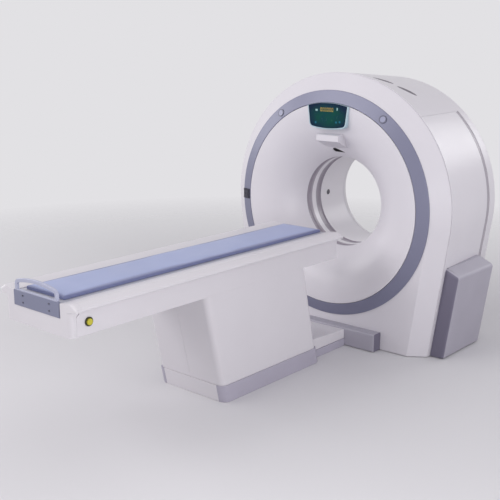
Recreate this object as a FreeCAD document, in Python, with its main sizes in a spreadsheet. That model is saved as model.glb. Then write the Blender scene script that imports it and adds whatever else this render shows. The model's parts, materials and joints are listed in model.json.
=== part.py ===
"""Whole-body scanner: ring gantry and patient table, one parametric document in millimetres.

Frame: origin on the floor under the isocentre, +Y along the bore from the table side to the rear,
+X to the right when looking along +Y, +Z up.
"""
import FreeCAD, Part
import Sketcher
import math
import os
from FreeCAD import Rotation, Vector

doc = FreeCAD.newDocument("scanner")

SIZES = {
    # bore, scan window and the grooves on both sides of it
    "isocentre_height": 1060.0,
    "bore_radius": 350.0,
    "bore_front": -238.0,
    "groove_width": 45.0,
    "groove_depth": 7.0,
    "seal_thickness": 6.0,
    "window_width": 98.0,
    "bore_rear": 265.0,
    "liner_wall": 8.0,
    "lens_radius": 22.0,
    "lens_y": 53.0,
    # front cover: funnel, flat face, bevel
    "funnel_rim_radius": 764.0,
    "funnel_rim_front": -450.0,
    "cover_wall": 7.0,
    "face_front": -412.0,
    "face_radius": 863.0,
    "seam_front": -320.0,
    "seam_radius": 990.0,
    "side_lean": 8.0,
    "cover_floor_gap": 5.0,
    "seam_gap": 0.8,
    # accent ring
    "ring_gap": 3.0,
    "ring_radius": 863.0,
    "ring_edge": 8.0,
    "ring_marker_radius": 29.5,
    "ring_marker_thickness": 5.0,
    "ring_marker_angle": 55.3,
    # top, side and rear covers
    "side_rear": 325.0,
    "rear_front": 345.0,
    "rear_seam_radius": 945.0,
    "rear_back": 490.0,
    "rear_back_radius": 935.0,
    "rear_corner": 60.0,
    "funnel_stays": 3,
    "funnel_steps": 6,
    "flare_steps": 3,
    "rear_funnel_radius": 575.0,
    "rear_funnel_curve": 300.0,
    "top_seam_rise": 696.0,
    "gasket_overlap": 30.0,
    "gasket_thickness": 10.0,
    "vent_length": 165.0,
    "vent_width": 58.0,
    "vent_cut": 60.0,
    "vent_plate": 4.0,
    "vent_margin": 5.0,
    "vent_turn": 36.9,
    "vent_front_y": -190.0,
    "vent_front_share": 0.4,
    "vent_rear_y": -110.0,
    "vent_rear_share": 0.63,
    # display and light bracket over the funnel
    "display_front": -466.0,
    "display_depth": 90.0,
    "display_top_half": 183.0,
    "display_bottom_half": 157.0,
    "display_bottom": 576.0,
    "display_shoulder": 688.0,
    "display_sag": 16.0,
    "bezel_width": 9.0,
    "bezel_top": 2.0,
    "glass_thickness": 5.0,
    "display_corner": 40.0,
    "visor_half": 100.0,
    "visor_top": 531.0,
    "visor_bottom": 486.0,
    "visor_front": -464.0,
    "visor_rise": 8.0,
    "visor_toe": 424.0,
    "laser_half": 44.0,
    "laser_height": 26.0,
    "laser_radius": 405.0,
    "surface_gap": 0.3,
    # key panel on the left of the ring
    "key_panel_width": 78.0,
    "key_panel_height": 78.0,
    "key_panel_thickness": 9.0,
    "key_panel_radius": 816.0,
    "key_width": 56.0,
    "key_height": 26.0,
    "key_pitch": 35.0,
    "key_proud": 3.0,
    "key_travel": 2.0,
    "key_clearance": 0.5,
    # foot covers and front ledge
    "foot_front": -290.0,
    "foot_rear": 255.0,
    "foot_proud": 118.0,
    "foot_height": 632.0,
    "foot_rise": 50.0,
    "foot_round": 24.0,
    "ledge_half": 495.0,
    "ledge_front": -500.0,
    "ledge_drop": 57.0,
    "ledge_chamfer": 14.0,
    # gantry base and stator
    "base_thickness": 40.0,
    "base_side_clearance": 2.0,
    "base_front": -290.0,
    "base_clearance": 6.0,
    "anchor_hole_radius": 9.0,
    "anchor_x": 640.0,
    "anchor_front": -230.0,
    "anchor_rear": 250.0,
    "stator_front": 84.0,
    "stator_thickness": 50.0,
    "stator_half": 640.0,
    "stator_height": 1720.0,
    "stator_shoulder": 1390.0,
    "stator_top_half": 384.0,
    "mast_half": 80.0,
    "stator_hole": 500.0,
    "stator_foot": 150.0,
    "stator_heel": 75.0,
    # bearing, rotor and what it carries
    "bearing_width": 62.0,
    "race_clearance": 6.0,
    "bearing_inner_radius": 425.0,
    "bearing_split_radius": 468.0,
    "bearing_outer_radius": 560.0,
    "bearing_clearance": 0.5,
    "drum_inner": 392.0,
    "drum_radius": 800.0,
    "drum_front": -20.0,
    "drum_back": 20.0,
    "rim_front": -90.0,
    "rim_wall": 22.0,
    "hub_back": 178.0,
    "slip_front": 160.0,
    "slip_outer": 520.0,
    "tube_offset": 620.0,
    "tube_radius": 112.0,
    "tube_front": -330.0,
    "collimator_half": 95.0,
    "collimator_top_half": 66.0,
    "collimator_bottom": 404.0,
    "collimator_gap": 1.0,
    "collimator_slot": 14.0,
    "slot_half": 47.0,
    "collimator_front": -200.0,
    "detector_focus": 541.0,
    "detector_distance": 950.0,
    "detector_thickness": 110.0,
    "detector_angle": 54.0,
    "detector_front": -150.0,
    "generator_inner": 470.0,
    "generator_outer": 700.0,
    "generator_half": 190.0,
    "generator_front": -210.0,
    "counterweight_front": -130.0,
    # drive
    "motor_drop": 730.0,
    "motor_side_clearance": 25.0,
    "motor_radius": 85.0,
    "motor_length": 190.0,
    "motor_foot_half": 51.0,
    "motor_gap": 12.0,
    "shaft_short": 2.0,
    "pulley_radius": 64.0,
    "pulley_clearance": 0.5,
    "belt_thickness": 6.0,
    "belt_front": -82.0,
    "belt_width": 36.0,
    "shaft_radius": 14.0,
    # table: tub
    "table_half": 290.0,
    "table_foot": -3115.0,
    "table_gantry": -720.0,
    "tub_bottom": 742.0,
    "panel_wall": 9.0,
    "pan_thickness": 8.0,
    "rim_bottom": 888.0,
    "rim_lip": 8.0,
    "rim_dip": 13.0,
    "rim_shoulder": 912.0,
    "rim_top": 938.0,
    "rim_half": 345.0,
    "rim_flat_half": 300.0,
    "rim_round": 15.0,
    "cap_thickness": 40.0,
    "gantry_cap_thickness": 16.0,
    "cap_round": 32.0,
    "panel_seam": 1.2,
    "panel_notch": 36.0,
    "trough_half": 206.0,
    "trough_side": 2.0,
    "trough_wall": 8.0,
    "trough_floor": 838.0,
    "frame_half": 120.0,
    "frame_foot": -2950.0,
    "frame_gantry": -860.0,
    "frame_bottom": 754.0,
    "glide_half": 96.0,
    "glide_width": 40.0,
    "glide_height": 4.0,
    "glide_inset": 2.0,
    # cradle and what rides on it
    "cradle_half": 200.0,
    "cradle_top": 922.0,
    "cradle_side": 898.0,
    "cradle_keel_half": 150.0,
    "keel_round": 16.0,
    "cradle_gantry": -735.0,
    "fit_gap": 0.3,
    "pad_half": 171.0,
    "pad_foot": -3063.0,
    "pad_gantry": -752.0,
    "pad_side": 21.0,
    "pad_crown": 5.0,
    "pad_drawn": 4.0,
    "plate_thickness": 14.0,
    "plate_clearance": 1.5,
    "plate_top": 930.0,
    "plate_foot": -3119.0,
    "handle_half": 190.0,
    "handle_top": 1006.0,
    "handle_shoulder": 962.0,
    "handle_bend": 35.0,
    "handle_wide": 16.0,
    "handle_deep": 13.0,
    "handle_edge": 4.0,
    "screw_radius": 6.0,
    "screw_head": 3.0,
    "screw_x": 118.0,
    "screw_low": 868.0,
    "screw_high": 908.0,
    # stop button
    "button_y": -2995.0,
    "button_height": 815.0,
    "button_radius": 18.0,
    "button_bezel": 26.0,
    "button_bezel_depth": 8.0,
    "button_proud": 7.0,
    "button_clearance": 0.5,
    # pedestal, its skirt and the lift
    "pedestal_lean": 12.8,
    "pedestal_half": 289.0,
    "pedestal_foot": -1946.0,
    "pedestal_gantry": -943.0,
    "pedestal_wall": 7.0,
    "pedestal_seam": 1.0,
    "pedestal_round": 42.0,
    "pedestal_bottom": 66.0,
    "skirt_height": 119.0,
    "skirt_gap": 2.5,
    "skirt_wall": 7.5,
    "skirt_wrap": 48.0,
    "floor_plate": 24.0,
    "floor_flange": 5.0,
    "floor_plate_inset": 6.0,
    "column_size": 150.0,
    "column_wall": 8.0,
    "column_top": 560.0,
    "column_foot_y": -1740.0,
    "column_gantry_y": -1170.0,
    "ram_gap": 0.6,
    "ram_bottom": 120.0,
    "actuator_radius": 45.0,
    "actuator_top": 470.0,
    "rod_radius": 22.0,
    "rod_bottom": 200.0,
    "rod_clearance": 80.0,
    "link_half": 225.0,
    "link_top": 128.0,
    "link_rise": 22.0,
    "link_wall": 6.0,
    "link_skirt": 58.0,
}


class Size:
    """A number together with the sheet expression that gives it."""

    def __init__(self, number, text):
        self.number = float(number)
        self.text = text

    def __float__(self):
        return self.number

    def __add__(self, other):
        other = as_size(other)
        return Size(self.number + other.number, f"({self.text} + {other.text})")

    def __sub__(self, other):
        other = as_size(other)
        return Size(self.number - other.number, f"({self.text} - {other.text})")

    def __mul__(self, factor):
        return Size(self.number * factor, f"({self.text} * {factor})")

    def __neg__(self):
        return Size(-self.number, f"(0 - {self.text})")

    __radd__ = __add__
    __rmul__ = __mul__


def as_size(value):
    return value if isinstance(value, Size) else Size(value, f"{value}")


class Sizes:
    """The sheet's cells by alias: each one reads as a Size."""

    def __init__(self, numbers):
        self.sheet = doc.addObject("Spreadsheet::Sheet", "sizes")
        for row, (alias, number) in enumerate(numbers.items(), 1):
            self.sheet.set(f"A{row}", alias)
            self.sheet.set(f"B{row}", f"{number}")
            self.sheet.setAlias(f"B{row}", alias)
        doc.recompute()

    def __getattr__(self, alias):
        return Size(self.sheet.get(alias), f"sizes.{alias}")


S = Sizes(SIZES)
NODES = []


def bind(thing, path, size):
    """Tie one property of an object to the sheet."""
    size = as_size(size)
    thing.setExpression(path, size.text)


def lift_to_axis(thing):
    """Pieces turned round the bore are drawn on its axis and raised to it."""
    bind(thing, "Placement.Base.z", S.isocentre_height)


# ---------------------------------------------------------------- sketches and bodies

def new_body(label):
    made = doc.addObject("PartDesign::Body", label)
    NODES.append(made)
    return made


def new_sketch(owner, role, offset=0):
    """A sketch on one of the body's own origin planes, moved along that plane's normal."""
    drawn = owner.newObject("Sketcher::SketchObject", f"{owner.Name}_sketch")
    plane = [f for f in owner.Origin.OriginFeatures if f.Role == role][0]
    drawn.AttachmentSupport = [(plane, "")]
    drawn.MapMode = "FlatFace"
    offset = as_size(offset)
    drawn.AttachmentOffset = FreeCAD.Placement(Vector(0, 0, float(offset)), Rotation())
    bind(drawn, "AttachmentOffset.Base.z", offset)
    return drawn


def pin_value(drawn, kind, refs, size):
    """Add one dimension to a sketch and tie it to the sheet."""
    size = as_size(size)
    index = drawn.addConstraint(Sketcher.Constraint(kind, *refs, float(size)))
    drawn.setExpression(f"Constraints[{index}]", size.text)


def polygon(drawn, points):
    """A closed outline through points given as pairs of sizes."""
    first = drawn.GeometryCount
    flat = [Vector(float(a), float(b), 0) for a, b in points]
    count = len(flat)
    for i in range(count):
        drawn.addGeometry(Part.LineSegment(flat[i], flat[(i + 1) % count]), False)
    for i in range(count):
        following = first + (i + 1) % count
        drawn.addConstraint(Sketcher.Constraint("Coincident", first + i, 2, following, 1))
    for i, (a, b) in enumerate(points):
        pin_value(drawn, "DistanceX", (-1, 1, first + i, 1), a)
        pin_value(drawn, "DistanceY", (-1, 1, first + i, 1), b)


def circle(drawn, across, up, radius):
    index = drawn.GeometryCount
    centre = Vector(float(as_size(across)), float(as_size(up)), 0)
    drawn.addGeometry(Part.Circle(centre, Vector(0, 0, 1), float(radius)), False)
    pin_value(drawn, "DistanceX", (-1, 1, index, 3), across)
    pin_value(drawn, "DistanceY", (-1, 1, index, 3), up)
    pin_value(drawn, "Radius", (index,), radius)


def pad(owner, drawn, length):
    made = owner.newObject("PartDesign::Pad", f"{owner.Name}_pad")
    made.Profile = drawn
    made.Length = float(length)
    bind(made, "Length", length)
    drawn.Visibility = False
    return made


def pocket(owner, drawn, length):
    """A cut against the sketch's normal, checked to have removed something."""
    doc.recompute()
    before = owner.Shape.Volume
    made = owner.newObject("PartDesign::Pocket", f"{owner.Name}_pocket")
    made.Profile = drawn
    made.Length = float(length)
    bind(made, "Length", length)
    doc.recompute()
    if not owner.Shape.Volume < before:
        raise RuntimeError(f"{owner.Label}: the pocket cut nothing")
    return made


def prism_x(label, points, start, length):
    """A pad along +X of an outline drawn in (Y, Z)."""
    owner = new_body(label)
    drawn = new_sketch(owner, "YZ_Plane", start)
    polygon(drawn, points)
    pad(owner, drawn, length)
    return owner


def prism_y(label, points, start, length):
    """A pad along +Y of an outline drawn in (X, Z)."""
    owner = new_body(label)
    start = as_size(start)
    length = as_size(length)
    drawn = new_sketch(owner, "XZ_Plane", -(start + length))
    polygon(drawn, points)
    pad(owner, drawn, length)
    return owner


def block(label, x0, x1, y0, y1, z0, z1):
    owner = new_body(label)
    drawn = new_sketch(owner, "XY_Plane", z0)
    polygon(drawn, [(x0, y0), (x1, y0), (x1, y1), (x0, y1)])
    pad(owner, drawn, as_size(z1) - z0)
    return owner


def ring(label, points):
    """A full turn round the bore axis of an outline drawn in (Y, radius)."""
    owner = new_body(label)
    drawn = new_sketch(owner, "YZ_Plane")
    polygon(drawn, points)
    turned = owner.newObject("PartDesign::Revolution", f"{label}_turn")
    turned.Profile = drawn
    turned.ReferenceAxis = (drawn, ["H_Axis"])
    turned.Angle = 360
    lift_to_axis(owner)
    return owner


def treat_edges(owner, kind, measure, size, wanted):
    """A fillet or a chamfer on the edges for which wanted(edge) is true."""
    doc.recompute()
    last = owner.Tip
    names = [f"Edge{i}" for i, edge in enumerate(last.Shape.Edges, 1) if wanted(edge)]
    made = owner.newObject(f"PartDesign::{kind}", f"{owner.Name}_{kind.lower()}")
    made.Base = (last, names)
    setattr(made, measure, float(size))
    bind(made, measure, size)
    return made


def round_edges(owner, radius, wanted):
    return treat_edges(owner, "Fillet", "Radius", radius, wanted)


def bevel_edges(owner, size, wanted):
    return treat_edges(owner, "Chamfer", "Size", size, wanted)


def group(label, owners):
    """Like pieces that share one node."""
    made = doc.addObject("Part::Compound", label)
    made.Links = owners
    for owner in owners:
        NODES.remove(owner)
    NODES.append(made)


def runs_along(edge, axis):
    """True for a straight edge parallel to a row axis, 0 for X, 1 for Y and 2 for Z."""
    ends = [v.Point for v in edge.Vertexes]
    if len(ends) < 2:
        return False
    along = ends[1] - ends[0]
    return abs(along[axis]) > 0.999 * along.Length


def feature(label, shape, on_axis=False):
    """A piece whose form is made directly; one drawn round the bore is raised to it."""
    made = doc.addObject("Part::Feature", label)
    made.Shape = shape
    if on_axis:
        lift_to_axis(made)
    NODES.append(made)
    return made


# ---------------------------------------------------------------- gantry outlines

FLOOR = -float(S.isocentre_height) + float(S.cover_floor_gap)
LEAN = math.radians(float(S.side_lean))
BEVEL_SLOPE = (float(S.seam_radius) - float(S.face_radius)) / (float(S.seam_front) - float(S.face_front))
TAPER = (float(S.rear_seam_radius) - float(S.seam_radius)) / (float(S.rear_front) - float(S.seam_front))
BACK_DROP = float(S.rear_back_radius) - float(S.rear_seam_radius)
BACK_TAPER = BACK_DROP / (float(S.rear_back) - float(S.rear_front))


def bevel_radius(y):
    return float(S.seam_radius) + (y - float(S.seam_front)) * BEVEL_SLOPE


def side_radius(y):
    return float(S.seam_radius) + (y - float(S.seam_front)) * TAPER


def outline(radius, y, floor=FLOOR):
    """The gantry's outline seen from the front: an arch whose sides lean in to the floor."""
    right = Vector(radius * math.cos(LEAN), y, -radius * math.sin(LEAN))
    left = Vector(-right.x, y, right.z)
    foot = right.x - (right.z - floor) * math.tan(LEAN)
    low_right = Vector(foot, y, floor)
    low_left = Vector(-foot, y, floor)
    crown = Part.Arc(right, Vector(0, y, radius), left).toShape()
    edges = [crown, Part.makeLine(left, low_left), Part.makeLine(low_left, low_right),
             Part.makeLine(low_right, right)]
    return Part.Wire(edges)


def through(stations, floor=FLOOR):
    """The solid through several outlines, each given as (radius, y)."""
    return Part.makeLoft([outline(radius, y, floor) for radius, y in stations], True, True)


def between(radius_front, y_front, radius_rear, y_rear, floor=FLOOR):
    """The solid between two outlines."""
    return through([(radius_front, y_front), (radius_rear, y_rear)], floor)


def tube_wall(radius_front, y_front, radius_rear, y_rear, wall):
    """An open arch of even wall between two outlines; its foot is open too."""
    outer = between(radius_front, y_front, radius_rear, y_rear)
    inner = between(radius_front - wall, y_front, radius_rear - wall, y_rear, FLOOR - wall)
    return outer.cut(inner)


def turn(edges):
    """A full turn round the bore axis of a closed wire drawn in the (Y, Z) plane."""
    face = Part.Face(Part.Wire(edges))
    return face.revolve(Vector(0, 0, 0), Vector(0, 1, 0), 360)


def along_bore(radius, y0, y1):
    return Part.makeCylinder(radius, y1 - y0, Vector(0, y0, 0), Vector(0, 1, 0))


def yz(y, z):
    return Vector(0, y, z)


def chords(start, end, centre, count):
    """Straight runs from start to end with their corners on the arc round a centre."""
    spoke = start - centre
    whole = spoke.getAngle(end - centre)
    axis = spoke.cross(end - centre)
    corners = [centre + Rotation(axis, math.degrees(whole * i / count)).multVec(spoke) for i in range(count)]
    corners.append(end)
    return [Part.makeLine(a, b) for a, b in zip(corners, corners[1:])]


# The funnel's curve is a circle that meets the rim square to the bore and passes the throat.
THROAT = yz(float(S.bore_front), float(S.bore_radius))
RIM = yz(float(S.funnel_rim_front), float(S.funnel_rim_radius))
RUN = THROAT.y - RIM.y
RISE = RIM.z - THROAT.z
FUNNEL_CURVE = (RUN ** 2 + RISE ** 2) / (2 * RUN)
FUNNEL_CENTRE = yz(RIM.y + FUNNEL_CURVE, RIM.z)


def funnel_y(radius):
    """Where the funnel's surface lies at a distance from the bore axis."""
    return FUNNEL_CENTRE.y - math.sqrt(FUNNEL_CURVE ** 2 - (RIM.z - radius) ** 2)


def funnel_seat():
    """What lies behind the funnel's stepped surface and a gap."""
    count = int(float(S.funnel_steps))
    spoke = THROAT - FUNNEL_CENTRE
    step = spoke.getAngle(RIM - FUNNEL_CENTRE) / count
    reach = 1 + float(S.surface_gap) / math.cos(step / 2) / FUNNEL_CURVE
    low = FUNNEL_CENTRE + spoke * reach
    front = FUNNEL_CENTRE + (RIM - FUNNEL_CENTRE) * reach
    behind = yz(FUNNEL_CENTRE.y, low.z)
    return turn([*chords(low, front, FUNNEL_CENTRE, count), Part.makeLine(front, FUNNEL_CENTRE),
                 Part.makeLine(FUNNEL_CENTRE, behind), Part.makeLine(behind, low)])


# ---------------------------------------------------------------- gantry covers

def front_cover():
    """The arch-shaped moulding in front: its bevel and flat face, open where the funnel sits."""
    wall = float(S.cover_wall)
    face, seam = float(S.face_front), float(S.seam_front)
    slant = wall * math.hypot(1, BEVEL_SLOPE)
    inside = face + wall
    outer = between(float(S.face_radius), face, float(S.seam_radius), seam)
    inner = between(bevel_radius(inside) - slant, inside, float(S.seam_radius) - slant, seam, FLOOR - wall)
    hole = along_bore(RIM.z + wall / 2, face - wall, inside + wall)
    feature("gantry_front_cover", outer.cut(inner).cut(hole), on_axis=True)


def front_funnel():
    """The bore's moulded trumpet, finely stepped in front and coarsely behind, its rim in the front cover."""
    wall = float(S.cover_wall)
    back = float(S.face_front) + wall
    rim = RIM.z + wall / 2 - float(S.surface_gap)
    inner_curve = FUNNEL_CURVE - wall
    low = yz(THROAT.y, FUNNEL_CENTRE.z - math.sqrt(inner_curve ** 2 - (FUNNEL_CENTRE.y - THROAT.y) ** 2))
    lip_in = yz(FUNNEL_CENTRE.y - math.sqrt(inner_curve ** 2 - (wall / 2) ** 2), RIM.z - wall / 2)
    funnel = turn([
        *chords(THROAT, RIM, FUNNEL_CENTRE, int(float(S.funnel_steps))),
        Part.makeLine(RIM, yz(RIM.y, rim)),
        Part.makeLine(yz(RIM.y, rim), yz(back, rim)),
        Part.makeLine(yz(back, rim), yz(back, lip_in.z)),
        Part.makeLine(yz(back, lip_in.z), lip_in),
        *chords(lip_in, low, FUNNEL_CENTRE, int(float(S.funnel_stays))),
        Part.makeLine(low, THROAT),
    ])
    feature("front_funnel", funnel.cut(laser_slot(-2 * wall, 2 * wall)), on_axis=True)


def laser_slot(start, end):
    """The light window's rounded slot between two depths, square to the funnel above the throat."""
    radius = float(S.laser_radius)
    half, high = float(S.laser_half), float(S.laser_height) / 2
    spot = yz(funnel_y(radius), radius)
    inward = FUNNEL_CENTRE - spot
    inward.normalize()
    across = Vector(1, 0, 0)
    up = inward.cross(across)
    corners = [spot + inward * start + across * a + up * b
               for a, b in ((-half, -high), (half, -high), (half, high), (-half, high))]
    face = Part.Face(Part.makePolygon(corners + corners[:1]))
    slot = face.extrude(inward * (end - start))
    deep = [e for e in slot.Edges if e.Length > 0.99 * (end - start)]
    ends = [e for e in deep if abs((e.Vertexes[1].Point - e.Vertexes[0].Point).dot(inward)) > 0.99 * e.Length]
    return slot.makeFillet(high * 0.9, ends)


def side_lens(side, radius, start, end):
    """A round light window in the liner's side, between two distances from the bore axis."""
    low = Vector(side * start, float(S.lens_y), 0)
    return Part.makeCylinder(radius, end - start, low, Vector(side, 0, 0))


def laser_window():
    """The dark pane in the slot and the two round lenses in the liner, all a little below the surface."""
    wall, gap = float(S.cover_wall), float(S.surface_gap)
    bore, liner = float(S.bore_radius), float(S.liner_wall)
    panes = [laser_slot(wall / 4, wall)]
    for side in (-1, 1):
        panes.append(side_lens(side, float(S.lens_radius) - gap, bore + gap, bore + liner))
    feature("laser_window", Part.makeCompound(panes), on_axis=True)


def ring_start():
    """The accent ring's inner radius."""
    return S.funnel_rim_radius + S.cover_wall * 0.5 + S.ring_gap


def accent_ring():
    start = ring_start()
    ring("accent_ring", [
        (S.funnel_rim_front, start),
        (S.face_front - S.ring_edge, S.ring_radius),
        (S.face_front, S.ring_radius),
        (S.face_front, start),
    ])


def ring_slope():
    """The accent ring's rise towards the rear for each millimetre outwards."""
    depth = S.face_front - S.ring_edge - S.funnel_rim_front
    return float(depth) / float(S.ring_radius - ring_start())


def ring_place(angle, radius, stand_off=0.0):
    """A placement on the ring's cone: local Z leaves the surface, local Y points up."""
    slope = ring_slope()
    outward = Vector(math.cos(angle), 0, math.sin(angle))
    normal = outward * slope - Vector(0, 1, 0)
    normal.normalize()
    spot = outward * radius + Vector(0, float(S.funnel_rim_front) + (radius - float(ring_start())) * slope, 0)
    spot.z += float(S.isocentre_height)
    across = Vector(0, 0, 1).cross(normal)
    across.normalize()
    turned = Rotation(across, normal.cross(across), normal, "ZXY")
    return FreeCAD.Placement(spot + normal * stand_off, turned)


def ring_markers():
    """Two low discs on the ring, one node."""
    discs = []
    middle = float(S.ring_radius + ring_start()) / 2
    thick = float(S.ring_marker_thickness)
    for angle in (180 - float(S.ring_marker_angle), float(S.ring_marker_angle)):
        disc = Part.makeCylinder(float(S.ring_marker_radius), thick)
        disc.Placement = ring_place(math.radians(angle), middle, float(S.surface_gap))
        discs.append(disc)
    feature("ring_markers", Part.makeCompound(discs))


def key_panel():
    half = S.key_panel_width * 0.5
    up = S.key_panel_height * 0.5
    owner = new_body("key_panel")
    drawn = new_sketch(owner, "XY_Plane")
    polygon(drawn, [(-half, -up), (half, -up), (half, up), (-half, up)])
    pad(owner, drawn, S.key_panel_thickness)
    for middle in (S.key_pitch * 0.5, S.key_pitch * -0.5):
        hole = new_sketch(owner, "XY_Plane", S.key_panel_thickness)
        wide = S.key_width * 0.5 + S.key_clearance
        high = S.key_height * 0.5 + S.key_clearance
        polygon(hole, [(-wide, middle - high), (wide, middle - high), (wide, middle + high),
                       (-wide, middle + high)])
        pocket(owner, hole, S.key_panel_thickness - S.key_clearance * 2)
    place = ring_place(math.pi, float(S.key_panel_radius), float(S.surface_gap))
    owner.Placement = place
    for name, middle in (("upper", S.key_pitch * 0.5), ("lower", S.key_pitch * -0.5)):
        key = new_body(f"key_{name}")
        floor = S.key_clearance * 2 + S.key_travel + S.key_clearance
        drawn = new_sketch(key, "XY_Plane", floor)
        wide = S.key_width * 0.5
        high = S.key_height * 0.5
        polygon(drawn, [(-wide, middle - high), (wide, middle - high), (wide, middle + high),
                        (-wide, middle + high)])
        pad(key, drawn, S.key_panel_thickness + S.key_proud - floor)
        key.Placement = place


def display_face(inset, top_inset):
    """The display's outline: an arc under the ring, tapered sides, a sagging lower edge."""
    top = RIM.z - top_inset
    wide = float(S.display_top_half) - inset
    low = float(S.display_bottom) + inset
    narrow = float(S.display_bottom_half) - inset
    shoulder_z = math.sqrt(top ** 2 - wide ** 2)
    y = float(S.display_front)
    right, left = Vector(wide, y, shoulder_z), Vector(-wide, y, shoulder_z)
    corner = low + float(S.display_sag)
    low_right, low_left = Vector(narrow, y, corner), Vector(-narrow, y, corner)
    edges = [Part.Arc(right, Vector(0, y, top), left).toShape(), Part.makeLine(left, low_left),
             Part.Arc(low_left, Vector(0, y, low), low_right).toShape(), Part.makeLine(low_right, right)]
    return Part.Face(Part.Wire(edges))


def rounded_below(solid, radius):
    """Round the two lower corners of a display-shaped prism."""
    edges = [e for e in solid.Edges if runs_along(e, 1) and e.Vertexes[0].Point.z < float(S.display_shoulder)]
    return solid.makeFillet(radius, edges)


def display():
    back = Vector(0, float(S.display_depth), 0)
    inset, thick = float(S.bezel_width), float(S.glass_thickness)
    body = rounded_below(display_face(0, 0).extrude(back), float(S.display_corner))
    face = display_face(inset, float(S.bezel_top))
    pane = rounded_below(face.extrude(Vector(0, thick, 0)), float(S.display_corner) - inset)
    bezel = body.cut(funnel_seat()).cut(pane)
    feature("display_bezel", largest(bezel), on_axis=True)
    feature("display_glass", pane, on_axis=True)


def largest(shape):
    return max(shape.Solids, key=lambda solid: solid.Volume)


def light_bracket():
    """The bracket under the display: an upright nose whose underside slopes back to the throat."""
    front = float(S.visor_front)
    half, top, bottom = float(S.visor_half), float(S.visor_top), float(S.visor_bottom)
    toe, rise = float(S.visor_toe), float(S.visor_rise)
    profile = [yz(front, bottom), yz(front, top), yz(funnel_y(top + rise), top + rise),
               yz(FUNNEL_CENTRE.y, toe), yz(funnel_y(toe), toe)]
    face = Part.Face(Part.makePolygon(profile + profile[:1]))
    face.translate(Vector(-half, 0, 0))
    nose = face.extrude(Vector(2 * half, 0, 0))
    nose = nose.cut(funnel_seat())
    feature("light_bracket", largest(nose), on_axis=True)


def wrap_covers():
    """Top cover, both side covers and the dark gaskets between them and the rear cover."""
    wall, gap = float(S.cover_wall), float(S.seam_gap)
    front = float(S.seam_front) + gap
    rear, groove = float(S.rear_front) - gap, float(S.side_rear)
    seam = float(S.top_seam_rise)
    reach = 2 * float(S.seam_radius)
    above = Part.makeBox(2 * reach, 2 * reach, reach, Vector(-reach, -reach, seam))
    whole = tube_wall(side_radius(front), front, side_radius(rear), rear, wall)
    short = tube_wall(side_radius(front), front, side_radius(groove), groove, wall)
    top = whole.common(above)
    for vent in vents():
        top = top.cut(vent)
    feature("gantry_top_cover", top, on_axis=True)
    below = Part.makeBox(reach, 2 * reach, 2 * reach, Vector(0, -reach, seam - gap - 2 * reach))
    feature("side_cover_right", short.common(below), on_axis=True)
    below.translate(Vector(-reach, 0, 0))
    feature("side_cover_left", short.common(below), on_axis=True)
    deep = wall + float(S.surface_gap)
    under = groove - float(S.gasket_overlap)
    thick = float(S.gasket_thickness)
    band = tube_wall(side_radius(under) - deep, under, side_radius(rear) - deep, rear, thick)
    feature("side_gaskets", band.common(Part.makeCompound([below, mirrored_x(below)])), on_axis=True)
    grilles = [vent_plate(vent) for vent in vents(float(S.vent_margin))]
    feature("top_vents", Part.makeCompound(grilles), on_axis=True)


def mirrored_x(shape):
    return shape.mirror(Vector(0, 0, 0), Vector(1, 0, 0))


def vents(margin=0.0):
    """Oval openings on both shoulders of the top cover, at shares of the way from crown to seam."""
    made = []
    for side in (1, -1):
        for share, y in ((S.vent_front_share, S.vent_front_y), (S.vent_rear_share, S.vent_rear_y)):
            seam = math.acos(float(S.top_seam_rise) / side_radius(float(y)))
            made.append(oval(side * float(share) * seam, float(y), side, margin))
    return made


def oval(angle, y, side, margin):
    length, width = float(S.vent_length) / 2 + margin, float(S.vent_width) / 2 + margin
    twist = math.radians(float(S.vent_turn))
    outward = Vector(math.sin(angle), 0, math.cos(angle))
    middle = outward * side_radius(y) + Vector(0, y, 0)
    around = Vector(math.cos(angle), 0, -math.sin(angle)) * side
    along = around * math.cos(twist) + Vector(0, math.sin(twist), 0)
    ellipse = Part.Ellipse(middle + along * length, middle + along.cross(outward).normalize() * width, middle)
    face = Part.Face(Part.Wire(ellipse.toShape()))
    deep = outward * float(S.vent_cut)
    face.translate(deep * -0.5)
    return face.extrude(deep)


def vent_plate(vent):
    """The grille plate that closes a vent from inside, against the cover's wall."""
    inset = float(S.cover_wall + S.surface_gap)
    front, rear = float(S.seam_front), float(S.rear_front)
    sheet = tube_wall(side_radius(front) - inset, front, side_radius(rear) - inset, rear, float(S.vent_plate))
    return largest(vent.common(sheet))


def rear_cover():
    """The rear moulding: bevelled arch and flat back, open where the rear funnel sits."""
    wall, corner = float(S.cover_wall), float(S.rear_corner)
    front, back = float(S.rear_front), float(S.rear_back)
    seam, far = float(S.rear_seam_radius), float(S.rear_back_radius)
    thin = wall * math.tan(math.pi / 8)
    turned = far - BACK_TAPER * corner
    outer = through([(seam, front), (turned, back - corner), (far - corner, back)])
    inner = through([(seam - wall, front), (turned - wall, back - corner - thin),
                     (far - corner - thin, back - wall)], FLOOR - wall)
    hole = along_bore(float(S.rear_funnel_radius + S.surface_gap), front, back + wall)
    feature("gantry_rear_cover", outer.cut(inner).cut(hole), on_axis=True)


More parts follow.
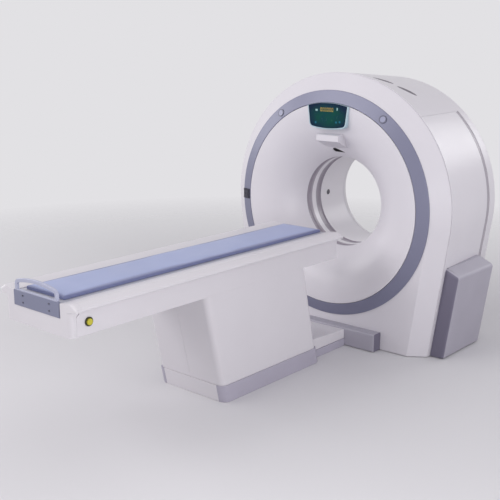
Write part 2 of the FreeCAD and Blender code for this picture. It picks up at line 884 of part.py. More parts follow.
def rear_funnel():
    """The flare round the bore behind, from the liner out to the flat back."""
    wall, curve = float(S.cover_wall), float(S.rear_funnel_curve)
    back = float(S.rear_back)
    start = yz(float(S.bore_rear), float(S.bore_radius))
    end = yz(back, float(S.rear_funnel_radius))
    chord = end - start
    normal = Vector(0, -chord.z, chord.y).normalize()
    centre = (start + end) * 0.5 + normal * math.sqrt(curve ** 2 - (chord.Length / 2) ** 2)
    inner_curve = curve - wall
    low = yz(start.y, centre.z - math.sqrt(inner_curve ** 2 - (start.y - centre.y) ** 2))
    high = yz(back - wall, centre.z - math.sqrt(inner_curve ** 2 - (back - wall - centre.y) ** 2))
    rim = yz(back - wall, end.z)
    steps, stays = int(float(S.flare_steps)), int(float(S.funnel_stays))
    funnel = turn([*chords(start, end, centre, steps), Part.makeLine(end, rim), Part.makeLine(rim, high),
                   *chords(high, low, centre, stays), Part.makeLine(low, start)])
    feature("rear_funnel", funnel, on_axis=True)


def bore_rings():
    radius = S.bore_radius
    groove, window = S.groove_width, S.window_width
    seal_in = radius + S.groove_depth
    seal_out = seal_in + S.seal_thickness
    first = S.bore_front
    window_front = first + groove
    window_back = window_front + window
    seals = []
    for start in (first, window_back):
        outer = along_bore(float(seal_out), float(start), float(start + groove))
        seals.append(outer.cut(along_bore(float(seal_in), float(start), float(start + groove))))
    feature("bore_seals", Part.makeCompound(seals), on_axis=True)
    outer = radius + S.liner_wall
    ring("scan_window", [(window_front, radius), (window_back, radius), (window_back, outer),
                         (window_front, outer)])
    liner_front = float(window_back + groove)
    tube = along_bore(float(outer), liner_front, float(S.bore_rear))
    tube = tube.cut(along_bore(float(radius), liner_front, float(S.bore_rear)))
    for side in (-1, 1):
        tube = tube.cut(side_lens(side, float(S.lens_radius), float(radius) / 2, float(outer) * 2))
    feature("bore_liner", tube, on_axis=True)


def foot_covers():
    """Side boxes that follow the leaning, tapering side covers."""
    gap = float(S.surface_gap)
    front, rear = float(S.foot_front), float(S.foot_rear)
    low = FLOOR
    tan = math.tan(LEAN)
    beyond = float(S.foot_proud)
    foot_in = outline_half(side_radius(front), low)
    out = foot_in + float(S.foot_proud)
    top = float(S.foot_height) + FLOOR
    rise = float(S.foot_rise)
    inner_x = foot_in - float(S.foot_proud)
    peak = top + rise
    corners = [Vector(x, front, z) for x, z in ((inner_x, low), (out, low), (out + (top - low) * tan, top),
                                                (foot_in + (peak - low) * tan, peak), (inner_x, peak))]
    prism = Part.Face(Part.makePolygon(corners + corners[:1])).extrude(Vector(0, rear - front, 0))
    rounded = []
    for edge in prism.Edges:
        ends = [v.Point for v in edge.Vertexes]
        high_edge = all(abs(p.z - top) < 0.01 for p in ends)
        upright = all(p.x > out - 0.01 for p in ends)
        slope = all(p.z > top - 0.01 and p.x > foot_in for p in ends)
        if high_edge or upright or slope:
            rounded.append(edge)
    prism = prism.makeFillet(float(S.foot_round), rounded)
    near = between(side_radius(front - beyond) + gap, front - beyond, side_radius(rear + beyond) + gap,
                   rear + beyond, FLOOR - beyond)
    right = largest(prism.cut(near))
    feature("foot_covers", Part.makeCompound([right, mirrored_x(right)]), on_axis=True)


def outline_half(radius, z):
    """Half the outline's width at a height below its tangent points."""
    side = radius * math.cos(LEAN)
    return side - (-radius * math.sin(LEAN) - z) * math.tan(LEAN)


def front_ledge():
    top = S.isocentre_height - S.ring_radius - S.ledge_drop
    owner = block("front_ledge", -S.ledge_half, S.ledge_half, S.ledge_front, S.face_front - S.surface_gap,
                  S.cover_floor_gap, top)
    front, high = float(S.ledge_front), float(top)
    round_edges(owner, S.ledge_chamfer,
                lambda e: all((v.Point.z > high - 1 and v.Point.y < front + 1) for v in e.Vertexes)
                or (runs_along(e, 2) and e.Vertexes[0].Point.y < front + 1))


# ---------------------------------------------------------------- gantry inside

def room_half(y, height):
    """Half the room between the side covers, at a place along the bore and a height over the floor."""
    radius = S.seam_radius + (as_size(y) - S.seam_front) * TAPER - S.cover_wall
    return radius * (1 / math.cos(LEAN)) + (as_size(height) - S.isocentre_height) * math.tan(LEAN)


def gantry_base():
    rear = S.side_rear - S.gasket_overlap - S.base_clearance
    half = room_half(rear, 0) - S.base_side_clearance
    owner = block("gantry_base", -half, half, S.base_front, rear, 0, S.base_thickness)
    drawn = new_sketch(owner, "XY_Plane", S.base_thickness)
    for x in (S.anchor_x, -S.anchor_x):
        for y in (S.anchor_front, S.anchor_rear):
            circle(drawn, x, y, S.anchor_hole_radius)
    pocket(owner, drawn, S.base_thickness)


def stator():
    """The upright frame: a plate with the bearing seat, standing on two feet."""
    drop = S.isocentre_height - S.base_thickness
    top = S.stator_height - S.isocentre_height
    owner = new_body("stator_frame")
    drawn = new_sketch(owner, "XZ_Plane", -(S.stator_front + S.stator_thickness))
    half, mast, narrow = S.stator_half, S.mast_half, S.stator_top_half
    reach, shoulder = mast_top(), S.stator_shoulder - S.isocentre_height
    polygon(drawn, [(-half, -drop), (half, -drop), (half, shoulder), (narrow, top), (mast, top),
                    (mast, reach), (-mast, reach), (-mast, top), (-narrow, top), (-half, shoulder)])
    circle(drawn, 0, 0, S.stator_hole)
    pad(owner, drawn, S.stator_thickness)
    foot = new_sketch(owner, "XY_Plane", -drop)
    for side in (-1, 1):
        outer, inner = half * side, (half - S.stator_foot) * side
        lo, hi = (outer, inner) if side < 0 else (inner, outer)
        polygon(foot, [(lo, S.stator_front - S.stator_foot), (hi, S.stator_front - S.stator_foot),
                       (hi, S.stator_front + S.stator_thickness + S.stator_heel),
                       (lo, S.stator_front + S.stator_thickness + S.stator_heel)])
    pad(owner, foot, S.base_thickness)
    lift_to_axis(owner)


def mast_top():
    """The mast's height over the bore axis: its corners stop just under the top cover."""
    back = float(S.stator_front + S.stator_thickness)
    roof = side_radius(back) - float(S.cover_wall) - float(S.surface_gap)
    return math.sqrt(roof ** 2 - float(S.mast_half) ** 2)


def bearing():
    front = S.drum_back
    back = front + S.bearing_width
    ring("bearing_inner_race", [(front, S.bearing_inner_radius), (back, S.bearing_inner_radius),
                                (back, S.bearing_split_radius), (front, S.bearing_split_radius)])
    split = S.bearing_split_radius + S.bearing_clearance
    front, seat = S.drum_back + S.race_clearance, S.stator_front
    ring("bearing_outer_race", [(front, split), (seat, split), (seat, S.bearing_outer_radius),
                                (front, S.bearing_outer_radius)])


def rotor():
    """The drum, with its rim in front and its hub behind, and the slip ring on the hub's end."""
    hub, bore = S.bearing_inner_radius, S.drum_inner
    ring("rotor_drum", [
        (S.drum_front, bore), (S.hub_back, bore), (S.hub_back, hub), (S.drum_back, hub),
        (S.drum_back, S.drum_radius), (S.rim_front, S.drum_radius), (S.rim_front, S.drum_radius - S.rim_wall),
        (S.drum_front, S.drum_radius - S.rim_wall)])
    ring("slip_ring", [(S.slip_front, hub), (S.hub_back, hub), (S.hub_back, S.slip_outer),
                       (S.slip_front, S.slip_outer)])


def carried_by_rotor():
    """Tube, collimator, detector, generator and counterweight, all bolted to the drum's front face."""
    tube = doc.addObject("Part::Cylinder", "xray_tube")
    bind(tube, "Radius", S.tube_radius)
    bind(tube, "Height", S.drum_front - S.tube_front)
    tube.Placement = FreeCAD.Placement(Vector(), Rotation(Vector(1, 0, 0), -90))
    bind(tube, "Placement.Base.y", S.tube_front)
    bind(tube, "Placement.Base.z", S.isocentre_height + S.tube_offset)
    NODES.append(tube)

    half, slot = S.collimator_half, S.collimator_slot
    top = S.tube_offset - S.tube_radius
    narrow, high = S.collimator_top_half, top - S.collimator_gap
    owner = prism_y("collimator", [(-half, S.collimator_bottom), (half, S.collimator_bottom), (narrow, high),
                                   (-narrow, high)], S.collimator_front, S.drum_front - S.collimator_front)
    drawn = new_sketch(owner, "XY_Plane", top)
    middle = (S.collimator_front + S.drum_front) * 0.5
    wide = S.slot_half
    front, back = middle - slot, middle + slot
    polygon(drawn, [(-wide, front), (wide, front), (wide, back), (-wide, back)])
    pocket(owner, drawn, top - S.collimator_bottom + S.collimator_gap)
    lift_to_axis(owner)

    wide = math.radians(float(S.detector_angle) / 2)
    down = Vector(math.sin(wide), 0, -math.cos(wide))
    focus = Vector(0, 0, float(S.detector_focus))
    front = Vector(0, float(S.detector_front), 0)
    rear = Vector(0, float(S.drum_front), 0)
    near = focus + down * float(S.detector_distance)
    far = focus + down * float(S.detector_distance + S.detector_thickness)
    section = Part.Face(Part.makePolygon([near + front, far + front, far + rear, near + rear, near + front]))
    feature("detector", section.revolve(focus, Vector(0, 1, 0), float(S.detector_angle)), on_axis=True)

    high = S.generator_half
    sides = (("generator", -1, S.generator_front), ("counterweight", 1, S.counterweight_front))
    for name, side, front in sides:
        inner, far = S.generator_inner * side, S.generator_outer * side
        lo, hi = (far, inner) if side < 0 else (inner, far)
        owner = prism_y(name, [(lo, -high), (hi, -high), (hi, high), (lo, high)], front, S.drum_front - front)
        lift_to_axis(owner)


def drive():
    """Motor on a bracket, its pulley and the toothless belt round the drum."""
    shaft_end = S.belt_front + S.belt_width
    motor_front = shaft_end + S.motor_gap
    up = S.isocentre_height - S.motor_drop
    room = room_half(motor_front + S.motor_length, up - S.motor_radius)
    x = room - S.motor_radius - S.motor_side_clearance
    owner = new_body("drive_motor")
    drawn = new_sketch(owner, "XZ_Plane", -(motor_front + S.motor_length))
    circle(drawn, x, up, S.motor_radius)
    pad(owner, drawn, S.motor_length)
    foot = new_sketch(owner, "XZ_Plane", -(motor_front + S.motor_length))
    wide = S.motor_foot_half
    low = S.base_thickness
    polygon(foot, [(x - wide, low), (x + wide, low), (x + wide, up), (x - wide, up)])
    pad(owner, foot, S.motor_length)
    stub = new_sketch(owner, "XZ_Plane", -motor_front)
    circle(stub, x, up, S.shaft_radius)
    pad(owner, stub, S.belt_width + S.motor_gap - S.shaft_short)

    pulley = new_body("drive_pulley")
    drawn = new_sketch(pulley, "XZ_Plane", -shaft_end)
    circle(drawn, x, up, S.pulley_radius)
    circle(drawn, x, up, S.shaft_radius + S.pulley_clearance)
    pad(pulley, drawn, S.belt_width)

    gap, thick = float(S.pulley_clearance), float(S.belt_thickness)
    depth = float(S.belt_width)
    far = (float(x), -float(S.motor_drop))
    loops = []
    for extra in (gap, gap + thick):
        loops.append(belt_face((0, 0), float(S.drum_radius) + extra, far, float(S.pulley_radius) + extra))
    belt = loops[1].cut(loops[0]).extrude(Vector(0, depth, 0))
    belt.translate(Vector(0, float(S.belt_front), 0))
    feature("drive_belt", belt, on_axis=True)


def belt_face(big, big_radius, small, small_radius):
    """The area inside a belt round two circles in the (X, Z) plane."""
    away = Vector(small[0] - big[0], 0, small[1] - big[1])
    distance = away.Length
    away.normalize()
    side = Vector(-away.z, 0, away.x)
    lean = (big_radius - small_radius) / distance
    straight = math.sqrt(1 - lean ** 2)
    ends = []
    for sign in (1, -1):
        normal = away * lean + side * (straight * sign)
        pairs = ((big, big_radius), (small, small_radius))
        ends.append([Vector(c[0], 0, c[1]) + normal * r for c, r in pairs])
    (big_a, small_a), (big_b, small_b) = ends
    big_far = Vector(big[0], 0, big[1]) - away * big_radius
    small_far = Vector(small[0], 0, small[1]) + away * small_radius
    wire = Part.Wire([Part.Arc(big_a, big_far, big_b).toShape(), Part.makeLine(big_b, small_b),
                      Part.Arc(small_b, small_far, small_a).toShape(), Part.makeLine(small_a, big_a)])
    return Part.Face(wire)


# ---------------------------------------------------------------- table: tub

def rim_outline(side):
    """Half the rounded white rim, from the trough's wall out to the bullnose."""
    inner = S.trough_half
    return [(inner * side, S.rim_bottom), (inner * side, S.rim_top - S.rim_dip),
            (S.rim_flat_half * side, S.rim_top), (S.rim_half * side, S.rim_shoulder),
            (S.rim_half * side, S.rim_bottom + S.rim_lip), (S.table_half * side, S.rim_bottom)]


def tub():
    start = S.table_foot + S.cap_thickness
    length = S.table_gantry - S.gantry_cap_thickness - start
    wall, floor = S.trough_wall, S.trough_floor
    outer, inner, top = S.trough_half, S.trough_half - S.trough_side, S.rim_bottom - S.surface_gap
    prism_y("trough", [(-outer, floor - wall), (outer, floor - wall), (outer, top), (inner, top),
                       (inner, floor), (-inner, floor), (-inner, top), (-outer, top)], start, length)
    rims, panels = [], []
    for name, side in (("left", -1), ("right", 1)):
        owner = prism_y(f"rim_{name}", rim_outline(side), start, length)
        rims.append(owner)
        round_edges(owner, S.rim_round,
                    lambda e: runs_along(e, 1) and abs(abs(e.Vertexes[0].Point.x) - float(S.rim_half)) < 0.5
                    and e.Vertexes[0].Point.z > float(S.rim_shoulder) - 1)
    for name, side in (("left", -1), ("right", 1)):
        outer, inside = S.table_half * side, (S.table_half - S.panel_wall) * side
        lo = outer if side < 0 else inside
        notch, seam = S.panel_notch, S.panel_seam
        top, low = S.rim_bottom - seam, S.tub_bottom
        owner = prism_x(f"side_panel_{name}", [
            (start + seam, low), (start + length, low), (start + length, top), (start + seam + notch, top),
            (start + seam, top - notch)], lo, S.panel_wall)
        panels.append(owner)
        if side > 0:
            hole = new_sketch(owner, "YZ_Plane", S.table_half)
            circle(hole, S.button_y, S.button_height, S.button_radius + S.button_clearance * 2)
            pocket(owner, hole, S.panel_wall)
    group("tub_rims", rims)
    group("side_panels", panels)
    inside = S.table_half - S.panel_wall - S.surface_gap
    pan = block("bottom_pan", -inside, inside, start + S.surface_gap, start + length - S.surface_gap,
                S.tub_bottom, S.tub_bottom + S.pan_thickness)
    lean = (S.skirt_height - S.tub_bottom) * TILT
    reach = S.column_size * 0.6
    opening = new_sketch(pan, "XY_Plane", S.tub_bottom + S.pan_thickness)
    polygon(opening, [(-reach, S.column_foot_y + lean - reach), (reach, S.column_foot_y + lean - reach),
                      (reach, S.column_gantry_y + lean + reach), (-reach, S.column_gantry_y + lean + reach)])
    pocket(pan, opening, S.pan_thickness)
    foot = end_cap("foot_cap", S.table_foot, S.cap_thickness)
    gantry = end_cap("gantry_cap", S.table_gantry - S.gantry_cap_thickness, S.gantry_cap_thickness)
    group("tub_end_caps", [foot, gantry])
    prism_y("table_frame", [(-S.frame_half, S.frame_bottom), (S.frame_half, S.frame_bottom),
                            (S.frame_half, S.trough_floor - S.trough_wall),
                            (-S.frame_half, S.trough_floor - S.trough_wall)], S.frame_foot,
            S.frame_gantry - S.frame_foot)
    glides = []
    high, wide, inset = float(S.glide_height), float(S.glide_width), float(S.glide_inset)
    for middle in (-float(S.glide_half), float(S.glide_half)):
        corner = Vector(middle - wide / 2, float(start) + inset, float(floor))
        glides.append(Part.makeBox(wide, float(length) - 2 * inset, high, corner))
    feature("glides", Part.makeCompound(glides))


def end_cap(label, start, length):
    """The tub's end plate: its outline with the cradle's channel cut out of the top."""
    inner = S.trough_half
    right = [(S.table_half, S.tub_bottom), (S.table_half, S.rim_bottom),
             (S.rim_half, S.rim_bottom + S.rim_lip), (S.rim_half, S.rim_shoulder),
             (S.rim_flat_half, S.rim_top), (inner, S.rim_top - S.rim_dip),
             (inner, S.trough_floor + S.glide_height)]
    left = [(-x, z) for x, z in reversed(right)]
    owner = prism_y(label, right + left, start, length)
    half, face = float(S.table_half), float(start)
    if label == "foot_cap":
        round_edges(owner, S.cap_round, lambda e: runs_along(e, 2) and e.Vertexes[0].Point.y < face + 1
                    and abs(abs(e.Vertexes[0].Point.x) - half) < 0.5)
        round_edges(owner, S.rim_round, lambda e: e.Vertexes[0].Point.y < face + 1
                    and e.Vertexes[-1].Point.y < face + 1
                    and all(abs(v.Point.x) > float(S.rim_flat_half) - 1
                            and v.Point.z > float(S.rim_bottom + S.rim_lip) - 1 for v in e.Vertexes)
                    and abs(e.Vertexes[0].Point.z - e.Vertexes[-1].Point.z) > 1)
    return owner


# ---------------------------------------------------------------- table: cradle

def cradle():
    keel = S.trough_floor + S.glide_height + S.fit_gap
    half, low = S.cradle_half, S.cradle_keel_half
    back = S.plate_foot + S.plate_thickness
    owner = prism_y("cradle", [(-low, keel), (low, keel), (half, S.cradle_side), (half, S.cradle_top),
                               (-half, S.cradle_top), (-half, S.cradle_side)], back, S.cradle_gantry - back)
    low_z = float(keel)
    round_edges(owner, S.keel_round, lambda e: runs_along(e, 1) and e.Vertexes[0].Point.z < low_z + 1)
    pad_cushion()
    wide = S.trough_half - S.trough_side - S.plate_clearance
    block("handle_plate", -wide, wide, S.plate_foot, back, keel, S.plate_top)
    handle()
    screws = []
    radius, head = float(S.screw_radius), float(S.screw_head)
    for x in (-1, 1):
        for z in (S.screw_low, S.screw_high):
            spot = Vector(float(S.screw_x) * x, float(S.plate_foot) - head, float(z))
            screws.append(Part.makeCylinder(radius, head, spot, Vector(0, 1, 0)))
    feature("plate_screws", Part.makeCompound(screws))


def pad_cushion():
    """The pad: a flat underside, sides drawn in between the corners, and a low crown on top."""
    half, drawn_in = float(S.pad_half), float(S.pad_drawn)
    low = float(S.cradle_top + S.fit_gap)
    foot, end = float(S.pad_foot), float(S.pad_gantry)
    step = float(S.pad_side) * 2
    narrow = half - drawn_in
    stations = [(foot, narrow, 0.7), (foot + step, half, 1.0), ((foot + end) / 2, narrow, 1.0),
                (end - step, half, 1.0), (end, narrow, 0.7)]
    sections = []
    for y, wide, full in stations:
        side = float(S.pad_side) * full
        crown = float(S.pad_crown) * full
        belly = drawn_in * full
        a, b = Vector(-wide, y, low), Vector(wide, y, low)
        c, d = Vector(wide, y, low + side), Vector(-wide, y, low + side)
        edges = [Part.makeLine(a, b), Part.Arc(b, Vector(wide + belly, y, low + side / 2), c).toShape(),
                 Part.Arc(c, Vector(0, y, low + side + crown), d).toShape(),
                 Part.Arc(d, Vector(-wide - belly, y, low + side / 2), a).toShape()]
        sections.append(Part.Wire(edges))
    feature("table_pad", Part.makeLoft(sections, True, True))


def handle_outline(inset):
    """The arch of the handle seen from the foot end, its outer side moved in by an inset."""
    half, bend = float(S.handle_half) - inset, float(S.handle_bend) - inset
    top, shoulder = float(S.handle_top) - inset, float(S.handle_shoulder)
    low = float(S.plate_top)
    rise, run = top - shoulder, half - bend
    arch = (run ** 2 + rise ** 2 - bend ** 2) / (2 * (rise - bend))
    centre = Vector(0, 0, top - arch)
    corner = Vector(run, 0, shoulder)
    out = (corner - centre).normalize()
    join = centre + out * arch
    bend_point = corner + (out + Vector(1, 0, 0)).normalize() * bend
    side, foot = Vector(half, 0, shoulder), Vector(half, 0, low)

    def left(point):
        return Vector(-point.x, point.y, point.z)

    return Part.Face(Part.Wire([
        Part.makeLine(left(foot), left(side)), Part.Arc(left(side), left(bend_point), left(join)).toShape(),
        Part.Arc(left(join), Vector(0, 0, top), join).toShape(), Part.Arc(join, bend_point, side).toShape(),
        Part.makeLine(side, foot), Part.makeLine(foot, left(foot))]))


def handle():
    """A flat bar with broken outer edges, bent into a shallow arch over the plate."""
    wide, deep = float(S.handle_wide), float(S.handle_deep)
    start = float(S.plate_foot + S.plate_thickness * 0.5) - deep / 2
    bar = handle_outline(0).cut(handle_outline(wide))
    bar.translate(Vector(0, start, 0))
    bar = bar.extrude(Vector(0, deep, 0))
    low, half, top = float(S.plate_top) + 1, float(S.handle_half), float(S.handle_top)
    inner = half - wide

    def outer_edge(edge):
        middle = edge.BoundBox.Center
        seen = abs(middle.y - start) < 0.5 and edge.BoundBox.YLength < 0.1 and edge.BoundBox.ZMax > low
        return seen and (abs(middle.x) > inner + 1 or edge.BoundBox.ZMax > top - 1)

    feature("handle", bar.makeChamfer(float(S.handle_edge), [e for e in bar.Edges if outer_edge(e)]))


def stop_button():
    x = S.table_half
    owner = new_body("button_bezel")
    drawn = new_sketch(owner, "YZ_Plane", x)
    circle(drawn, S.button_y, S.button_height, S.button_bezel)
    circle(drawn, S.button_y, S.button_height, S.button_radius + S.button_clearance)
    pad(owner, drawn, S.button_bezel_depth)
    owner = new_body("stop_button")
    drawn = new_sketch(owner, "YZ_Plane", x - S.panel_wall)
    circle(drawn, S.button_y, S.button_height, S.button_radius)
    pad(owner, drawn, S.panel_wall + S.button_bezel_depth + S.button_proud)


# ---------------------------------------------------------------- table: pedestal

TILT = math.tan(math.radians(float(S.pedestal_lean)))


def leaning(face, rise):
    """Raise a level face along the pedestal's lean."""
    return face.extrude(Vector(0, -TILT * rise, rise))


def level_rectangle(half, foot, gantry, z, radius=0.0):
    """A level rectangle at a height; foot and gantry are its ends at the skirt's top."""
    shift = (float(S.skirt_height) - z) * TILT
    y0, y1 = foot + shift, gantry + shift
    face = Part.Face(Part.makePolygon([Vector(-half, y0, z), Vector(half, y0, z), Vector(half, y1, z),
                                       Vector(-half, y1, z), Vector(-half, y0, z)]))
    if radius <= 0:
        return face
    edges = []
    corners = [(half, y1, 0), (-half, y1, 90), (-half, y0, 180), (half, y0, 270)]
    points = []
    for x, y, turn_from in corners:
        centre = Vector(x - math.copysign(radius, x), y - radius if y == y1 else y + radius, z)
        start, end = math.radians(turn_from), math.radians(turn_from + 90)
        points.append([centre + Vector(math.cos(a), math.sin(a), 0) * radius
                       for a in (start, (start + end) / 2, end)])
    for i, (a, b, c) in enumerate(points):
        edges.append(Part.Arc(a, b, c).toShape())
        edges.append(Part.makeLine(c, points[(i + 1) % 4][0]))
    return Part.Face(Part.Wire(edges))


def leaning_frame(half, foot, gantry, radius, wall, z0, z1):
    """An open box of even wall that leans with the pedestal."""
    outer = leaning(level_rectangle(half, foot, gantry, z0, radius), z1 - z0)
    opening = level_rectangle(half - wall, foot + wall, gantry - wall, z0, max(radius - wall, 0))
    inner = leaning(opening, z1 - z0)
    return outer.cut(inner)


def pedestal():
    half, foot, gantry = float(S.pedestal_half), float(S.pedestal_foot), float(S.pedestal_gantry)
    radius, wall = float(S.pedestal_round), float(S.pedestal_wall)
    top = float(S.tub_bottom)
    shell = leaning_frame(half, foot, gantry, radius, wall, float(S.pedestal_bottom), top)
    seam, long = float(S.pedestal_seam), 2 * (gantry - foot) + top
    halves = []
    for start in (-half - seam, seam / 2):
        side = Part.makeBox(half + seam / 2, long, 2 * top, Vector(start, foot - long / 2, -top / 2))
        halves.append(shell.common(side))
    feature("pedestal_covers", Part.makeCompound(halves))

    gap, skirt = float(S.skirt_gap), float(S.skirt_wall)
    grow = gap + skirt
    frame = leaning_frame(half + grow, foot - grow, gantry + grow, radius + grow, skirt, 0,
                          float(S.skirt_height))
    wrap = half - float(S.skirt_wrap)
    middle = Part.makeBox(2 * wrap, 3 * half, 2 * grow + float(S.skirt_height),
                          Vector(-wrap, foot - half, -grow))
    end_panel = frame.common(middle)
    sides = frame.cut(middle)
    feature("base_end_panel", end_panel)
    feature("base_skirts", Part.makeCompound([sides] + link_skirts()))
    rim = level_rectangle(half + gap, foot - gap, gantry + gap, 0, radius + gap)
    flange = leaning(rim, float(S.floor_flange))
    inset = wall + float(S.floor_plate_inset)
    plate = leaning(level_rectangle(half - inset, foot + inset, gantry - inset, 0, radius - inset),
                    float(S.floor_plate))
    feature("table_floor_plate", plate.fuse(flange).removeSplitter())


def lift():
    """Two telescopic columns and the actuator between them, all along the lean."""
    low, high = float(S.floor_plate), float(S.column_top)
    size, wall, gap = float(S.column_size), float(S.column_wall), float(S.ram_gap)
    top, start = float(S.frame_bottom), float(S.ram_bottom)
    middles = (float(S.column_foot_y), float(S.column_gantry_y))
    ram = size / 2 - wall - gap
    columns = [leaning_frame(size / 2, y - size / 2, y + size / 2, 0, wall, low, high) for y in middles]
    rams = [leaning(level_rectangle(ram, y - ram, y + ram, start), top - start) for y in middles]
    feature("lift_columns", Part.makeCompound(columns))
    feature("lift_rams", Part.makeCompound(rams))
    middle = sum(middles) / 2
    radius, rod, clear = float(S.actuator_radius), float(S.rod_radius), float(S.ram_gap)
    barrel = leaning(level_circle(radius, middle, low), float(S.actuator_top) - low)
    bore_start = float(S.rod_bottom - S.rod_clearance)
    barrel = barrel.cut(leaning(level_circle(rod + clear, middle, bore_start),
                                float(S.actuator_top) - bore_start + 1))
    feature("lift_actuator", barrel)
    start = float(S.rod_bottom)
    feature("lift_rod", leaning(level_circle(rod, middle, start), top - start))


def level_circle(radius, y, z):
    shift = (float(S.skirt_height) - z) * TILT
    return Part.Face(Part.Wire(Part.makeCircle(radius, Vector(0, y + shift, z))))


def link_end(z):
    """Where the link starts at a height: just clear of the leaning skirt."""
    clear = float(S.surface_gap + S.skirt_gap + S.skirt_wall)
    return float(S.pedestal_gantry) + clear - TILT * (z - float(S.skirt_height))


def link_prism(low, high, end_high, x0, x1):
    """A side outline between two heights, with a sloping top, drawn out along X."""
    end = float(S.ledge_front) - float(S.surface_gap)
    corners = [Vector(x0, link_end(low), low), Vector(x0, end, low), Vector(x0, end, end_high),
               Vector(x0, link_end(high), high)]
    return Part.Face(Part.makePolygon(corners + corners[:1])).extrude(Vector(x1 - x0, 0, 0))


def link():
    """The low cover between pedestal and gantry."""
    half = float(S.link_half)
    feature("link_cover", link_prism(float(S.link_skirt), float(S.link_top + S.link_rise), float(S.link_top),
                                     -half, half))


def link_skirts():
    """The two grey strips on which the link cover rests."""
    half, wall, high = float(S.link_half), float(S.link_wall), float(S.link_skirt)
    return [link_prism(0, high, high, x - wall, x + wall) for x in (-half, half)]


# ---------------------------------------------------------------- build

def build():
    front_cover()
    front_funnel()
    laser_window()
    accent_ring()
    ring_markers()
    key_panel()
    display()
    light_bracket()
    wrap_covers()
    rear_cover()
    rear_funnel()
    bore_rings()
    foot_covers()
    front_ledge()
    gantry_base()
    stator()
    bearing()
    rotor()
    carried_by_rotor()
    drive()
    tub()
    cradle()
    stop_button()
    pedestal()
    lift()
    link()


def check():
    """Stop if any object failed or any piece is missing its shape."""
    doc.recompute()
    for thing in doc.Objects:
        if "Invalid" in thing.State or "Error" in thing.State:
            raise RuntimeError(f"{thing.Label}: {thing.State}")
    for node in NODES:
        if node.Shape.isNull() or not node.Shape.isValid() or not node.Shape.Solids:
            raise RuntimeError(f"{node.Label}: no valid solid")


build()
check()
os.makedirs("parts", exist_ok=True)
for node in NODES:
    node.Shape.exportStep(os.path.join("parts", f"{node.Label}.step"))
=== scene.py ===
"""The looks of a whole-body scanner: a ring gantry on two grey feet and its padded patient table."""

import json
import math

import bmesh
import bpy
from mathutils import Matrix, Vector

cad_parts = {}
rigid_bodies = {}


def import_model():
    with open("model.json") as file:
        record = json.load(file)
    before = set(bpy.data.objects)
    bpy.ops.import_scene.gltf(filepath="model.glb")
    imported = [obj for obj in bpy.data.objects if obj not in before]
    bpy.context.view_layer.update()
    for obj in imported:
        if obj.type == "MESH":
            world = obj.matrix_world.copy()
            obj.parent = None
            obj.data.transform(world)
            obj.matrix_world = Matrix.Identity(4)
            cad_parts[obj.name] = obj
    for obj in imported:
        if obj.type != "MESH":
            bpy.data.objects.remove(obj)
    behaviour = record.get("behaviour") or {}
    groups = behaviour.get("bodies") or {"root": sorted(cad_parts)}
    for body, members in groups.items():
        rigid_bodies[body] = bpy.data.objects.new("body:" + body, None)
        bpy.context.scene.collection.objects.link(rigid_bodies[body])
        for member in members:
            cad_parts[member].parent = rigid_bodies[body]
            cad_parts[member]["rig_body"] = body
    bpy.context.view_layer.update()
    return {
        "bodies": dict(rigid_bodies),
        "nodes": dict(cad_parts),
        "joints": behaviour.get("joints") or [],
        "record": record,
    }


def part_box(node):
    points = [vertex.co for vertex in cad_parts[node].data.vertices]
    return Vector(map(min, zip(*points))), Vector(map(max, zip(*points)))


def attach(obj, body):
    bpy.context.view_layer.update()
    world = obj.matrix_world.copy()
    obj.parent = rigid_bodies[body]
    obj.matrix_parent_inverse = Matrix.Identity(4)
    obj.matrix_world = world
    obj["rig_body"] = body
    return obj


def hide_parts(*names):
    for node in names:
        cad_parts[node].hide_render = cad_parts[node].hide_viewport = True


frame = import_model()

# ---------------------------------------------------------------- sizes, in metres, as the CAD has them

AXIS_HEIGHT = 1.060
BORE_RADIUS = 0.350
THROAT_Y = -0.238
RIM_RADIUS = 0.764
RIM_Y = -0.450
COVER_WALL = 0.007
FACE_Y = -0.412
FACE_RADIUS = 0.863
FRONT_SEAM_Y = -0.320
FRONT_SEAM_RADIUS = 0.990
REAR_SEAM_Y = 0.345
REAR_SEAM_RADIUS = 0.945
BACK_Y = 0.490
BACK_RADIUS = 0.935
BACK_CORNER = 0.060
FLARE_RADIUS = 0.575
FLARE_CURVE = 0.300
LINER_END = 0.265
GROOVE_WIDTH, GROOVE_DEPTH = 0.045, 0.007
LENS_RADIUS, LENS_Y = 0.022, 0.053
LASER_RADIUS = 0.405
LASER_BROAD, LASER_NARROW = (-0.031, 0.000), (0.043, 0.023)
LASER_BROAD_END, LASER_NARROW_END = 0.0240, 0.0032
SURFACE_GAP = 0.0003
SIDE_LEAN = math.radians(8)
FLOOR_LEVEL = 0.005 - AXIS_HEIGHT
SILL = FLOOR_LEVEL + 0.040
RING_GAP = 0.003
RING_EDGE = 0.008


# ---------------------------------------------------------------- camera, lights and floor

def add_camera():
    """A level camera at the photograph's height, looking down on the table from its foot end."""
    heading, drop = math.radians(40.91), math.radians(13.29)
    data = bpy.data.cameras.new("camera")
    data.lens, data.sensor_width = 63.26, 36
    data.clip_end = 60
    camera = bpy.data.objects.new("camera", data)
    camera.location = (3.876, -5.816, 2.265)
    camera.rotation_euler = (math.pi / 2 - drop, 0, heading)
    bpy.context.collection.objects.link(camera)
    bpy.context.scene.camera = camera


def soft_box(name, place, aim, width, height, power, colour=(1, 1, 1)):
    """A rectangular lamp of some watts at a place, turned to a point."""
    data = bpy.data.lights.new(name, "AREA")
    data.shape, data.size, data.size_y = "RECTANGLE", width, height
    data.energy, data.color = power, colour
    lamp = bpy.data.objects.new(name, data)
    lamp.location = place
    lamp.rotation_euler = (Vector(aim) - Vector(place)).to_track_quat("-Z", "Y").to_euler()
    bpy.context.collection.objects.link(lamp)


